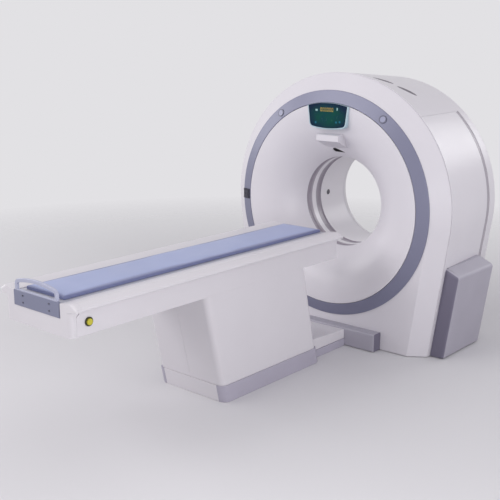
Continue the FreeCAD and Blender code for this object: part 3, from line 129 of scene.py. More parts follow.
def light_studio():
    """A wide key from the upper left, a soft box that the ring mirrors, and weaker light from all round."""
    soft_box("key_light", (-3.4, -6.5, 4.5), (0, -1.2, 0.9), 5.0, 4.0, 228, (1.0, 0.985, 0.985))
    soft_box("left_light", (-6.6, -3.2, 2.9), (-0.4, -0.4, 1.4), 2.6, 2.8, 75)
    soft_box("fill_light", (6.2, -1.2, 2.6), (0.2, -0.8, 1.0), 3.0, 3.0, 92, (0.98, 0.97, 1.0))
    soft_box("low_light", (3.1, -4.5, 1.2), (0.0, -0.3, 0.7), 2.0, 1.4, 42)
    soft_box("top_light", (0, -1.0, 5.2), (0, -1.0, 0.8), 5.0, 5.0, 25)
    soft_box("back_light", (2.5, 5.0, 3.4), (0, 0.3, 1.2), 3.0, 2.0, 50)


def seen_directly(tree):
    """1 for a ray from the camera, a mirror or glass, and 0 for the light that falls on the object."""
    path = tree.nodes.new("ShaderNodeLightPath")
    total = path.outputs["Is Camera Ray"]
    for name in ("Is Glossy Ray", "Is Transmission Ray"):
        either = tree.nodes.new("ShaderNodeMath")
        either.operation = "MAXIMUM"
        tree.links.new(total, either.inputs[0])
        tree.links.new(path.outputs[name], either.inputs[1])
        total = either.outputs[0]
    return total


def light_world():
    """Even light from all round, and a backdrop of its own tone for what looks past the object."""
    world = bpy.data.worlds.new("studio")
    bpy.context.scene.world = world
    world.use_nodes = True
    tree = world.node_tree
    shade = tree.nodes["Background"]
    shade.inputs["Color"].default_value = (0.87, 0.85, 0.89, 1)
    shade.inputs["Strength"].default_value = 0.52
    seen = tree.nodes.new("ShaderNodeBackground")
    seen.inputs["Color"].default_value = BACKDROP
    mix = tree.nodes.new("ShaderNodeMixShader")
    tree.links.new(seen_directly(tree), mix.inputs[0])
    tree.links.new(shade.outputs[0], mix.inputs[1])
    tree.links.new(seen.outputs[0], mix.inputs[2])
    tree.links.new(mix.outputs[0], tree.nodes["World Output"].inputs["Surface"])


def add_floor():
    """A wide round floor, which thins out to the backdrop's own colour long before its edge."""
    level, steps = -0.0005, 96
    rows = [[(x, y, level) for x, y in arc((0.0, FLOOR_MIDDLE), reach, 0, 360, steps)[:-1]]
            for reach in (0.5, FLOOR_REACH / 2, FLOOR_REACH)]
    verts, faces = band(rows, closed=False)
    faces.append(tuple(range(steps)))
    floor = mesh_object("studio_floor", verts, faces)
    floor.data.materials.append(FINISHES["studio_floor"])


# ---------------------------------------------------------------- materials

def tone(red, green, blue):
    """A colour written as it looks on a screen, 0 to 255, in the renderer's own light."""
    linear = [v / 12.92 if v <= 0.04045 else ((v + 0.055) / 1.055) ** 2.4
              for v in (red / 255, green / 255, blue / 255)]
    return (*linear, 1.0)


class Value:
    """A shader socket that takes Python's operators: an expression on it adds the Math nodes."""

    def __init__(self, finish, socket):
        self.finish = finish
        self.socket = socket

    def math(self, operation, *others):
        made = self.finish.node("ShaderNodeMath", {"operation": operation}, dict(enumerate((self, *others))))
        return made.out(0)

    def swapped(self, operation, other):
        made = self.finish.node("ShaderNodeMath", {"operation": operation}, {0: other, 1: self})
        return made.out(0)

    def __add__(self, other):
        return self.math("ADD", other)

    def __sub__(self, other):
        return self.math("SUBTRACT", other)

    def __mul__(self, other):
        return self.math("MULTIPLY", other)

    def __truediv__(self, other):
        return self.math("DIVIDE", other)

    def __pow__(self, other):
        return self.math("POWER", other)

    def __rsub__(self, other):
        return self.swapped("SUBTRACT", other)

    def __rtruediv__(self, other):
        return self.swapped("DIVIDE", other)

    def __abs__(self):
        return self.math("ABSOLUTE")

    __radd__ = __add__
    __rmul__ = __mul__


class Step:
    """One shader node; out() gives an output as a Value."""

    def __init__(self, finish, made):
        self.finish = finish
        self.made = made

    def out(self, name=0):
        return Value(self.finish, self.made.outputs[name])


class Finish:
    """A procedural material under construction."""

    def __init__(self, name):
        self.material = bpy.data.materials.new(name)
        self.material.use_nodes = True
        self.tree = self.material.node_tree
        self.shader = self.tree.nodes["Principled BSDF"]
        self.place = self.node("ShaderNodeTexCoord").out("Object")

    def node(self, kind, settings=None, values=None):
        """Add a node: its settings first, then the values or links of its sockets."""
        made = self.tree.nodes.new(kind)
        for key, value in (settings or {}).items():
            setattr(made, key, value)
        for key, value in (values or {}).items():
            self.feed(made.inputs[key], value)
        return Step(self, made)

    def feed(self, socket, value):
        if isinstance(value, Value):
            self.tree.links.new(value.socket, socket)
        else:
            socket.default_value = value

    def set(self, **values):
        """Give the surface shader its sockets; an underscore in a name stands for a space."""
        for key, value in values.items():
            self.feed(self.shader.inputs[key.replace("_", " ")], value)

    def stretched(self, stretch):
        """The place on the object, stretched along each axis, as a vector."""
        return self.node("ShaderNodeMapping", {}, {"Vector": self.place, "Scale": stretch}).out()

    def xyz(self):
        apart = self.node("ShaderNodeSeparateXYZ", {}, {0: self.place})
        return apart.out("X"), apart.out("Y"), apart.out("Z")

    def noise(self, scale, detail=3.0, roughness=0.5, stretch=None):
        where = self.stretched(stretch) if stretch else self.place
        values = {"Vector": where, "Scale": scale, "Detail": detail, "Roughness": roughness}
        return self.node("ShaderNodeTexNoise", {}, values).out("Fac")

    def wander(self, scale, detail, low, high):
        """A value that drifts between two others over the surface, in patches."""
        return self.between(self.noise(scale, detail), 0.3, 0.7, low, high)

    def cells(self, scale, feature="F1"):
        values = {"Vector": self.place, "Scale": scale}
        return self.node("ShaderNodeTexVoronoi", {"feature": feature}, values).out("Distance")

    def between(self, value, low, high, start=0.0, end=1.0):
        """Map a value from one range to another, held at both ends."""
        values = {"Value": value, "From Min": low, "From Max": high, "To Min": start, "To Max": end}
        return self.node("ShaderNodeMapRange", {"clamp": True}, values).out()

    def blend(self, factor, first, second):
        """A colour between two colours."""
        made = self.node("ShaderNodeMix", {"data_type": "RGBA"}).made
        sockets = {s.identifier: s for s in made.inputs}
        self.feed(sockets["Factor_Float"], factor)
        self.feed(sockets["A_Color"], first)
        self.feed(sockets["B_Color"], second)
        return Value(self, next(s for s in made.outputs if s.identifier == "Result_Color"))

    def bump(self, height, distance, strength=1.0):
        values = {"Height": height, "Distance": distance, "Strength": strength}
        return self.node("ShaderNodeBump", {}, values).out("Normal")


def tinted(colour, factor):
    """A colour made lighter or darker."""
    return (*[min(1.0, c * factor) for c in colour[:3]], 1.0)


def moulded(name, colour, roughness=0.34, peel=1.0, shine=0.45):
    """Satin plastic from a smooth mould: faint mottling, fine orange peel and handled patches."""
    finish = Finish(name)
    mottle = finish.noise(2.6, 4.0, 0.6)
    speck = finish.noise(420.0, 2.0)
    shade = finish.blend(finish.between(mottle, 0.3, 0.7), tinted(colour, 0.985), tinted(colour, 1.01))
    handled = finish.noise(9.0, 5.0)
    finish.set(Base_Color=finish.blend(speck * 0.05, shade, tinted(colour, 0.9)),
               Roughness=finish.between(handled, 0.3, 0.75, roughness - 0.02, roughness + 0.02),
               Normal=finish.bump(finish.noise(330.0, 2.0) * 0.7 + speck * 0.3, 0.00004 * peel))
    finish.set(Specular_IOR_Level=shine)
    return finish.material


def painted(name, colour, roughness=0.30, flake=0.12, coat=0.25):
    """Satin metal paint with a faint flake under a clear coat."""
    finish = Finish(name)
    sparkle = finish.between(finish.cells(1500.0), 0.0, 0.7)
    cloud = finish.between(finish.noise(1.6, 2.0), 0.35, 0.65)
    shade = finish.blend(cloud, tinted(colour, 0.98), tinted(colour, 1.02))
    finish.set(Base_Color=finish.blend(sparkle * flake, shade, tinted(colour, 1.2)),
               Roughness=finish.wander(14.0, 5.0, roughness - 0.01, roughness + 0.01),
               Normal=finish.bump(finish.noise(260.0, 2.0), 0.00002))
    finish.set(Metallic=0.1, Coat_Weight=coat, Coat_Roughness=0.25, Specular_IOR_Level=0.4)
    return finish.material


def rough_plastic(name, colour, roughness=0.5, shine=0.5):
    """Grey textured plastic, spark-eroded, a little scuffed low down."""
    finish = Finish(name)
    scuff = finish.between(finish.noise(24.0, 6.0, 0.7), 0.56, 0.7)
    low = finish.between(finish.xyz()[2], 0.0, 0.25, 1.0, 0.15)
    cloud = finish.between(finish.noise(4.0), 0.3, 0.7)
    shade = finish.blend(cloud, tinted(colour, 0.97), tinted(colour, 1.02))
    finish.set(Base_Color=finish.blend(scuff * low * 0.22, shade, tinted(colour, 0.72)),
               Roughness=finish.wander(16.0, 4.0, roughness - 0.04, roughness + 0.05),
               Normal=finish.bump(finish.cells(SPARK_GRAIN, "SMOOTH_F1"), 0.00012))
    finish.set(Specular_IOR_Level=shine)
    return finish.material


def foot_plastic():
    """The foot covers' textured plastic, darker on the face towards the table but not along the ledge."""
    finish = Finish("foot_grey")
    across, along, _ = finish.xyz()
    face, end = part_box("foot_covers")[0].y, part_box("front_ledge")[1].x
    front = 1.0 - finish.between(along, face + 0.004, face + 0.008)
    beside_ledge = finish.between(abs(across), end - 0.006, end - 0.003)
    cloud = finish.between(finish.noise(4.0), 0.3, 0.7)
    side = finish.blend(cloud, tone(167, 164, 176), tone(174, 171, 183))
    finish.set(Base_Color=finish.blend(front * beside_ledge, side, tone(110, 106, 124)),
               Roughness=finish.wander(16.0, 4.0, 0.44, 0.54),
               Normal=finish.bump(finish.cells(SPARK_GRAIN, "SMOOTH_F1"), 0.00012))
    return finish.material


def ringed_marker():
    """The ring's own slate inside a thin dark line, round each marker's middle."""
    finish = Finish("marker_grey")
    low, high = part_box("ring_markers")
    across, _, up = finish.xyz()
    radius = (high.z - low.z) / 2
    reach = ((abs(across) - (high.x - radius)) ** 2.0 + (up - (low.z + radius)) ** 2.0) ** 0.5
    line = finish.between(reach, 0.68 * radius, 0.74 * radius)
    slate = finish.blend(finish.noise(3.0, 3.0), tone(140, 142, 168), tone(148, 150, 176))
    finish.set(Base_Color=finish.blend(line, slate, tone(92, 92, 112)),
               Roughness=finish.wander(14.0, 5.0, 0.26, 0.34),
               Normal=finish.bump(line, 0.0004))
    return finish.material


def rubber(name, colour):
    """Dull black rubber with a fine grain."""
    finish = Finish(name)
    grain = finish.noise(500.0, 3.0)
    finish.set(Base_Color=finish.blend(finish.noise(12.0), tinted(colour, 0.9), tinted(colour, 1.1)),
               Roughness=finish.between(grain, 0.3, 0.7, 0.55, 0.7), Normal=finish.bump(grain, 0.0001))
    return finish.material


def film():
    """The thin stretched window, greyer towards both ends as painted shade beside the grooves, with faint
    winding rings.
    """
    finish = Finish("window_film")
    low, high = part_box("scan_window")
    along = finish.xyz()[1]
    off = abs(along - (low.y + high.y) / 2)
    # painted shade: over the last few millimetres at each end the film turns grey, next to the grooves
    colour = finish.blend(finish.between(off, 0.022, 0.030), tone(238, 236, 240), tone(166, 159, 170))
    bands = finish.node("ShaderNodeMath", {"operation": "SINE"}, {0: along * 900.0}).out()
    finish.set(Base_Color=colour, Roughness=finish.wander(30.0, 3.0, 0.28, 0.31),
               Normal=finish.bump(bands, 0.00001))
    return finish.material


def vinyl():
    """Wipe-clean vinyl over foam: small leather grain, soft clouds, and painted shade that makes its sides a
    darker blue than its top.
    """
    finish = Finish("pad_blue")
    # painted shade: the sides get a darker copy of the top's blue
    top, side = tone(158, 168, 206), tone(112, 118, 156)
    grain = finish.cells(560.0, "SMOOTH_F1")
    crease = finish.noise(46.0, 5.0, 0.62, (1.0, 0.35, 1.0))
    # painted shade: below these heights the pad takes the darker side blue, above them the top's blue
    upper = finish.between(finish.xyz()[2], PAD_SHADE_LOW, PAD_SHADE_HIGH)
    cloud = finish.between(finish.noise(2.2, 3.0), 0.3, 0.7)
    face = finish.blend(cloud, tinted(top, 0.965), tinted(top, 1.03))
    finish.set(Base_Color=finish.blend(upper, side, face),
               Roughness=finish.wander(7.0, 4.0, 0.40, 0.50),
               Normal=finish.bump(grain * 0.6 + crease * 0.4, 0.00022))
    finish.set(Sheen_Weight=0.12, Sheen_Roughness=0.4, Specular_IOR_Level=0.4)
    return finish.material


def brushed(name, colour, roughness=0.3, stretch=(1.0, 40.0, 40.0)):
    """Metal with a brushed grain along one axis."""
    finish = Finish(name)
    grain = finish.noise(30.0, 3.0, 0.6, stretch)
    finish.set(Base_Color=finish.blend(grain, tinted(colour, 0.85), tinted(colour, 1.1)),
               Roughness=finish.between(grain, 0.3, 0.7, roughness - 0.07, roughness + 0.08),
               Normal=finish.bump(grain, 0.00004))
    finish.set(Metallic=1.0)
    return finish.material


def display_glass():
    """Dark glass: navy round its edge, green-teal over the lit panel, with faint lamps below."""
    finish = Finish("display_dark")
    across, _, up = finish.xyz()
    reach = (abs(across) / 0.165) ** 2.0 + (abs(up - DISPLAY_MIDDLE) / 0.088) ** 2.0
    inside = 1.0 - finish.between(reach, 0.15, 1.25)
    patches = finish.between(finish.noise(14.0, 2.0), 0.35, 0.65)
    glow = finish.blend(patches, tone(2, 60, 68), tone(2, 72, 60))
    lamps = None
    for x, z in DISPLAY_LAMPS:
        spot = (abs(across - x) ** 2.0 + abs(up - z) ** 2.0) ** 0.5
        lamp = 1.0 - finish.between(spot, 0.003, 0.011)
        lamps = lamp if lamps is None else lamps + lamp
    face = finish.blend(inside, tone(8, 32, 58), glow)
    finish.set(Base_Color=finish.blend(lamps, face, tone(34, 104, 128)),
               Roughness=finish.wander(40.0, 3.0, 0.22, 0.28),
               Emission_Color=finish.blend(lamps, tone(0, 18, 24), tone(24, 84, 104)))
    finish.set(Emission_Strength=0.2, Specular_IOR_Level=0.15)
    return finish.material


def lit(name, colour, strength):
    """A lamp behind smoked glass, brighter in its middle rows."""
    finish = Finish(name)
    flicker = finish.between(finish.noise(260.0, 1.0), 0.3, 0.7)
    finish.set(Base_Color=tinted(colour, 0.5), Roughness=finish.between(flicker, 0.0, 1.0, 0.25, 0.35),
               Emission_Color=finish.blend(flicker, tinted(colour, 0.7), colour), Emission_Strength=strength)
    return finish.material


def studio_floor():
    """Pale and matt, a little deeper in tone for the light that it throws back, and clear far out."""
    finish = Finish("studio_floor")
    across, along, _ = finish.xyz()
    reach = (across ** 2.0 + (along - FLOOR_MIDDLE) ** 2.0) ** 0.5
    pale = finish.blend(finish.noise(0.8, 2.0), tone(212, 211, 214), tone(214, 213, 216))
    seen = Value(finish, seen_directly(finish.tree))
    finish.set(Base_Color=finish.blend(seen, tone(184, 182, 186), pale), Roughness=0.85)
    clear = finish.node("ShaderNodeBsdfTransparent").made
    mix = finish.node("ShaderNodeMixShader", {}, {0: finish.between(reach, 2.6, 0.5 * FLOOR_REACH)}).made
    finish.tree.links.new(finish.shader.outputs[0], mix.inputs[1])
    finish.tree.links.new(clear.outputs[0], mix.inputs[2])
    finish.tree.links.new(mix.outputs[0], finish.tree.nodes["Material Output"].inputs["Surface"])
    return finish.material


SPARK_GRAIN = 620.0
BACKDROP = tone(226, 225, 228)
FLOOR_MIDDLE, FLOOR_REACH = -1.0, 14.0
# the heights at which the pad's painted side shade gives way to its top colour
PAD_SHADE_LOW, PAD_SHADE_HIGH = 0.9425, 0.9460
DISPLAY_MIDDLE = AXIS_HEIGHT + 0.672
DISPLAY_LAMPS = ((-0.107, AXIS_HEIGHT + 0.622), (0.080, AXIS_HEIGHT + 0.630), (0.112, AXIS_HEIGHT + 0.634))


def make_finishes():
    """Every finish by its name: those with a function of their own, then the plain ones."""
    made = {
        "studio_floor": studio_floor(),
        "marker_grey": ringed_marker(),
        "window_film": film(),
        "display_dark": display_glass(),
        "foot_grey": foot_plastic(),
        "pad_blue": vinyl(),
    }
    plain = {
        "gantry_white": (moulded, (218, 215, 221)),
        "table_white": (moulded, (217, 214, 219)),
        "liner_white": (moulded, (238, 236, 240), 0.34, 0.2),
        "ring_slate": (painted, (124, 125, 147), 0.36, 0.12, 0.1),
        # painted shade: the seals are greyer than the film and liner to stand for the shade in their grooves
        "seal_grey": (moulded, (160, 153, 164), 0.30, 0.3),
        "display_pale": (moulded, (180, 203, 212), 0.3, 0.5),
        "display_amber": (lit, (204, 170, 66), 0.62),
        "display_mark": (lit, (150, 190, 190), 0.5),
        "black_window": (moulded, (16, 14, 18), 0.4, 0.3, 0.1),
        "lens_grey": (moulded, (104, 101, 110), 0.15, 0.3),
        "key_dark": (moulded, (46, 44, 60), 0.5),
        "vent_grey": (rough_plastic, (138, 134, 142), 0.5, 0.04),
        "skirt_grey": (rough_plastic, (174, 170, 185)),
        "cradle_white": (moulded, (186, 186, 196), 0.42),
        "handle_lavender": (painted, (176, 179, 200), 0.34, 0.04, 0.1),
        "plate_lavender": (painted, (126, 129, 152), 0.4, 0.06, 0.1),
        "screw_steel": (brushed, (120, 121, 134), 0.34),
        "button_yellow": (moulded, (196, 188, 62), 0.28),
        "bezel_dark": (rough_plastic, (52, 52, 26), 0.4),
        "frame_steel": (painted, (120, 124, 130), 0.45, 0.03),
        "drum_aluminium": (brushed, (190, 192, 196), 0.32),
        "bearing_steel": (brushed, (176, 178, 184), 0.24),
        "unit_grey": (painted, (150, 152, 158), 0.4, 0.03),
        "belt_black": (rubber, (36, 36, 40)),
        "column_steel": (brushed, (172, 175, 182), 0.28, (40.0, 40.0, 1.0)),
    }
    for name, (kind, colour, *values) in plain.items():
        made[name] = kind(name, tone(*colour), *values)
    return made


# ---------------------------------------------------------------- mesh helpers

CREASE = 40


def mesh_object(name, verts, faces, edges=()):
    """A new object with a plain mesh, not yet dressed."""
    data = bpy.data.meshes.new(name)
    data.from_pydata([tuple(v) for v in verts], list(edges), faces)
    data.update()
    made = bpy.data.objects.new(name, data)
    bpy.context.collection.objects.link(made)
    return made


def settle(obj):
    """Turn an object's modifiers into plain mesh."""
    bpy.context.view_layer.update()
    ready = obj.evaluated_get(bpy.context.evaluated_depsgraph_get())
    plain = bpy.data.meshes.new_from_object(ready)
    obj.modifiers.clear()
    obj.data = plain
    plain.name = obj.name
    return obj


def smooth(obj, angle=35.0):
    """Smooth shading with sharp creases, weighted so that flat faces stay flat."""
    for face in obj.data.polygons:
        face.use_smooth = True
    obj.data.set_sharp_from_angle(angle=math.radians(angle))
    weighted = obj.modifiers.new("weighted", "WEIGHTED_NORMAL")
    weighted.keep_sharp = True
    return settle(obj)


def outward(obj):
    """Merge doubles and point every face of a closed mesh outwards."""
    work = bmesh.new()
    work.from_mesh(obj.data)
    bmesh.ops.remove_doubles(work, verts=work.verts, dist=1e-6)
    bmesh.ops.recalc_face_normals(work, faces=work.faces)
    work.to_mesh(obj.data)
    work.free()
    return obj


def dress(obj, finish, body, nodes=()):
    """Give a finished piece its material, the body that it rides on and the nodes that it stands for."""
    obj.data.materials.clear()
    obj.data.materials.append(FINISHES[finish])
    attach(obj, body)
    if nodes:
        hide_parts(*nodes)
    return obj


def body_of(node):
    """The body that a CAD node rides on."""
    return frame["nodes"][node]["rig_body"]


def slot_of(node):
    """The material slot that the record gives a CAD node."""
    rows = frame["record"]["subparts"]
    return next(row["material_slot"] for row in rows if row["node"] == node)


def softened(node, edge):
    """A copy of a CAD node with merged faces, broken edges and smooth curves."""
    source = frame["nodes"][node]
    made = bpy.data.objects.new(f"{node}_finished", source.data.copy())
    bpy.context.collection.objects.link(made)
    work = bmesh.new()
    work.from_mesh(made.data)
    bmesh.ops.remove_doubles(work, verts=work.verts, dist=2e-6)
    bmesh.ops.dissolve_limit(work, angle_limit=math.radians(0.6), verts=work.verts, edges=work.edges)
    limit = math.radians(KEEN_ANGLE)
    keen = [e for e in work.edges if len(e.link_faces) == 2 and e.calc_face_angle(0) > limit]
    bmesh.ops.bevel(work, geom=keen, offset=edge, offset_type="OFFSET", segments=2, profile=0.6,
                    affect="EDGES", clamp_overlap=True)
    work.to_mesh(made.data)
    work.free()
    made.data.materials.clear()
    smooth(made, 32.0)
    return dress(made, slot_of(node), body_of(node), (node,))


def arc(centre, radius, start, end, steps):
    """Points on an arc, angles in degrees, as pairs."""
    return [(centre[0] + radius * math.cos(math.radians(start + (end - start) * i / steps)),
             centre[1] + radius * math.sin(math.radians(start + (end - start) * i / steps)))
            for i in range(steps + 1)]


def eased(corners, radii, steps=4, closed=True):
    """An outline whose corners are turned into arcs; a radius of 0 keeps a corner."""
    count = len(corners)
    result = []
    for i, (corner, radius) in enumerate(zip(corners, radii)):
        here = Vector(corner)
        if not radius or (not closed and i in (0, count - 1)):
            result.append(tuple(here))
            continue
        back = (Vector(corners[i - 1]) - here)
        ahead = (Vector(corners[(i + 1) % count]) - here)
        half = back.angle(ahead) / 2
        cut = min(radius / math.tan(half), back.length * 0.49, ahead.length * 0.49)
        reach = cut * math.tan(half)
        middle = here + (back.normalized() + ahead.normalized()).normalized() * (reach / math.sin(half))
        first, last = here + back.normalized() * cut - middle, here + ahead.normalized() * cut - middle
        sweep = first.angle_signed(last)
        for k in range(steps + 1):
            turned = Matrix.Rotation(-sweep * k / steps, 2) @ first
            result.append(tuple(middle + turned))
    return result


def band(rows, closed=True):
    """Quads between rows of equal length, each row a closed loop; the last row meets the first if closed."""
    count = len(rows[0])
    verts = [v for row in rows for v in row]
    faces = []
    for i in range(len(rows) if closed else len(rows) - 1):
        following = (i + 1) % len(rows)
        for j in range(count):
            ahead = (j + 1) % count
            faces.append((i * count + j, i * count + ahead, following * count + ahead, following * count + j))
    return verts, faces


def shells(name, stacks, closed=True):
    """One mesh of several bands, each given as its rows."""
    verts, faces = [], []
    for rows in stacks:
        more, loops = band(rows, closed)
        faces += [tuple(v + len(verts) for v in loop) for loop in loops]
        verts += more
    return outward(mesh_object(name, verts, faces))


def block(name, rows):
    """A closed piece through rows of equal loops, with a face over the first loop and the last."""
    verts, faces = band(rows, closed=False)
    count = len(rows[0])
    faces += [tuple(range(count)), tuple(range(len(verts) - count, len(verts)))]
    return outward(mesh_object(name, verts, faces))


def slab(name, outline, front, back):
    """An outline in x and z as a thin closed plate between two depths."""
    return block(name, [[(x, y, z) for x, z in outline] for y in (front, back)])


def joined(name, pieces):
    """Several pieces as one object."""
    work = bmesh.new()
    for piece in pieces:
        work.from_mesh(piece.data)
        bpy.data.objects.remove(piece)
    whole = mesh_object(name, [], [])
    work.to_mesh(whole.data)
    work.free()
    return whole


def lathe(name, *outlines, steps=256):
    """A full turn round the bore axis of closed outlines given as (y, radius)."""
    def circle(y, radius):
        return [(x, y, z) for x, z in arc((0.0, AXIS_HEIGHT), radius, 0, 360, steps)[:-1]]

    return smooth(shells(name, [[circle(y, radius) for y, radius in outline] for outline in outlines]))


# ---------------------------------------------------------------- gantry covers

ARCH_STEPS, SIDE_STEPS, FOOT_STEPS = 200, 20, 36
RIM_EDGE, SEAM_EDGE, SHOULDER, FACE_INSIDE = 0.0025, 0.0025, 0.012, 0.03
RIM_LEAD, SEAM_LEAD, RIM_MARGIN, FLARE_MARGIN = 0.01, 0.02, 0.030, 0.05
SLOT_BEFORE, SLOT_BEHIND, PANE_SUNK = 0.012, 0.016, 0.0022
RING_ROUND, TUBE_EDGE = (0.003, 0.004), 0.0012
FUNNEL_RUN, FUNNEL_RISE = THROAT_Y - RIM_Y, RIM_RADIUS - BORE_RADIUS
FUNNEL_CURVE = (FUNNEL_RUN ** 2 + FUNNEL_RISE ** 2) / (2 * FUNNEL_RUN)
FUNNEL_CENTRE = (RIM_Y + FUNNEL_CURVE, RIM_RADIUS)
BAND_SEAT, BAND_PROUD, BAND_BACK, BAND_FOOT = 0.0002, 0.0012, 0.003, 0.0055
BAND_INSET, BAND_LIP, BAND_FALL, BAND_EASE = 0.001, 0.002, 0.012, 0.004


def arch(radius, y, floor=FLOOR_LEVEL):
    """The gantry's outline, counter-clockwise from the right foot: leaning sides and a round crown."""
    side = Vector((radius * math.cos(SIDE_LEAN), -radius * math.sin(SIDE_LEAN)))
    foot = Vector((side.x - (side.y - floor) * math.tan(SIDE_LEAN), floor))
    points = [foot.lerp(side, i / SIDE_STEPS) for i in range(SIDE_STEPS)]
    sweep = math.pi + 2 * SIDE_LEAN
    for i in range(ARCH_STEPS + 1):
        angle = -SIDE_LEAN + sweep * i / ARCH_STEPS
        points.append(Vector((radius * math.cos(angle), radius * math.sin(angle))))
    left = [Vector((-p.x, p.y)) for p in reversed(points[:SIDE_STEPS])]
    points += left
    points += [left[-1].lerp(foot, i / FOOT_STEPS) for i in range(1, FOOT_STEPS)]
    return [Vector((p.x, y, p.y + AXIS_HEIGHT)) for p in points]


GUIDE = [(p - Vector((0, 0, AXIS_HEIGHT))) for p in arch(FACE_RADIUS, 0)]


def hoop(radius, y):
    """A circle round the bore whose points lie in the same directions as the arch's."""
    return [Vector((p.x, 0, p.z)).normalized() * radius + Vector((0, y, AXIS_HEIGHT)) for p in GUIDE]


def curve_between(start, end, centre, steps):
    """Points of the arc from start to end round a centre, as (y, radius), both ends included."""
    first, last = Vector(start) - Vector(centre), Vector(end) - Vector(centre)
    sweep = first.angle_signed(last)
    return [tuple(Vector(centre) + Matrix.Rotation(-sweep * i / steps, 2) @ first) for i in range(steps + 1)]


def funnel_y(radius):
    """The depth of the funnel's front at a radius."""
    return FUNNEL_CENTRE[0] - math.sqrt(FUNNEL_CURVE ** 2 - (RIM_RADIUS - radius) ** 2)


def skin_radius(y):
    """The radius of the top and side covers' skin at a depth."""
    share = (y - FRONT_SEAM_Y) / (REAR_SEAM_Y - FRONT_SEAM_Y)
    return FRONT_SEAM_RADIUS + (REAR_SEAM_RADIUS - FRONT_SEAM_RADIUS) * share


def sill(radius):
    """How low a cover's outline reaches: to its floor edge, or less far where it lies inside the face."""
    return SILL if radius < FACE_RADIUS - FACE_INSIDE else FLOOR_LEVEL


def bevel_rows(inset):
    """Start of the face, its shoulder and the seam of the front cover, as (radius, y)."""
    slope = (FRONT_SEAM_RADIUS - FACE_RADIUS) / (FRONT_SEAM_Y - FACE_Y)
    slant = inset * math.hypot(1, slope)
    face = FACE_Y + inset
    start = FACE_RADIUS + (face - FACE_Y) * slope - slant
    return [(RIM_RADIUS + RIM_MARGIN, face), (start, face), (FRONT_SEAM_RADIUS - slant, FRONT_SEAM_Y)]


def front_cover():
    """Funnel, flat face and bevel in one moulding, with the light slot cut through it."""
    half = COVER_WALL / 2
    funnel = curve_between((THROAT_Y, BORE_RADIUS), (RIM_Y, RIM_RADIUS), FUNNEL_CENTRE, 30)
    lip = eased([(RIM_Y, RIM_RADIUS - RIM_LEAD), (RIM_Y, RIM_RADIUS + half), (FACE_Y, RIM_RADIUS + half)],
                [0, RIM_EDGE, 0], closed=False)
    rows = [hoop(r, y) for y, r in funnel + lip[1:]]
    seam = (FRONT_SEAM_RADIUS - SEAM_LEAD, FRONT_SEAM_Y)
    outer = eased(bevel_rows(0) + [seam], [0, SHOULDER, SEAM_EDGE, 0], 5, closed=False)
    rows += [arch(r, y, sill(r)) for r, y in outer[:-1]]
    inner = bevel_rows(COVER_WALL)[::-1]
    rows += [arch(r, y, FLOOR_LEVEL + COVER_WALL) for r, y in inner[:2]]
    back = FACE_Y + COVER_WALL
    curve = FUNNEL_CURVE - COVER_WALL
    lip_y = FUNNEL_CENTRE[0] - math.sqrt(curve ** 2 - half ** 2)
    low = RIM_RADIUS - math.sqrt(curve ** 2 - (FUNNEL_CENTRE[0] - THROAT_Y) ** 2)
    rows += [hoop(RIM_RADIUS + half, back), hoop(RIM_RADIUS - half, back)]
    behind = curve_between((lip_y, RIM_RADIUS - half), (THROAT_Y, low), FUNNEL_CENTRE, 12)
    rows += [hoop(r, y) for y, r in behind]
    cover = shells("front_cover_moulding", [rows])
    carve(cover, slot_block("slot_cutter", 0.0, -SLOT_BEFORE, SLOT_BEHIND))
    smooth(cover, CREASE)
    dress(cover, "gantry_white", "gantry", ("gantry_front_cover", "front_funnel"))


def carve(obj, cutter):
    """Cut one piece out of another and drop the cutter."""
    cut = obj.modifiers.new("cut", "BOOLEAN")
    cut.object, cut.operation, cut.solver = cutter, "DIFFERENCE", "EXACT"
    settle(obj)
    bpy.data.objects.remove(cutter)


def droplet(inset):
    """The light window's outline in its own plane: a broad round end that tapers to a small one."""
    run = Vector(LASER_NARROW) - Vector(LASER_BROAD)
    lean = math.degrees(math.atan2(run.y, run.x))
    half = math.degrees(math.acos((LASER_BROAD_END - LASER_NARROW_END) / run.length))
    return (arc(LASER_NARROW, LASER_NARROW_END - inset, lean - half, lean + half, 5)
            + arc(LASER_BROAD, LASER_BROAD_END - inset, lean + half, lean + 360 - half, 18))


def slot_block(name, inset, start, end):
    """The light window's outline as a block between two depths, square to the funnel above the throat."""
    spot = Vector((0, funnel_y(LASER_RADIUS), LASER_RADIUS))
    inward = (Vector((0, *FUNNEL_CENTRE)) - spot).normalized()
    up = inward.cross(Vector((1, 0, 0)))
    rows = [[spot + inward * depth + Vector((a, 0, 0)) + up * b + Vector((0, 0, AXIS_HEIGHT))
             for a, b in droplet(inset)] for depth in (start, end)]
    return block(name, rows)


def lens_circle(x, radius, steps=40):
    """A circle round the lens's middle in a plane across the bore."""
    return [(x, y, z) for y, z in arc((LENS_Y, AXIS_HEIGHT), radius, 0, 360, steps)[:-1]]


def light_windows():
    """The dark pane above the throat and the two domed lenses in the liner, as two pieces."""
    pane = smooth(slot_block("light_pane", SURFACE_GAP, PANE_SUNK, COVER_WALL))
    dress(pane, "black_window", body_of("laser_window"), ("laser_window",))
    rim, wall = LENS_RADIUS - SURFACE_GAP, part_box("bore_liner")[1].x - BORE_RADIUS
    profile = [(0.0008, 0.0), (0.0012, 0.45), (0.0024, 0.72), (0.0044, 0.80), (0.0040, 0.86), (0.0010, 0.92),
               (0.0010, 1.0), (wall, 1.0), (wall, 0.0)]
    sides = [[lens_circle(side * (BORE_RADIUS + deep), rim * share) for deep, share in profile]
             for side in (-1, 1)]
    lenses = smooth(shells("liner_lenses", sides, closed=False))
    dress(lenses, "lens_grey", body_of("laser_window"))


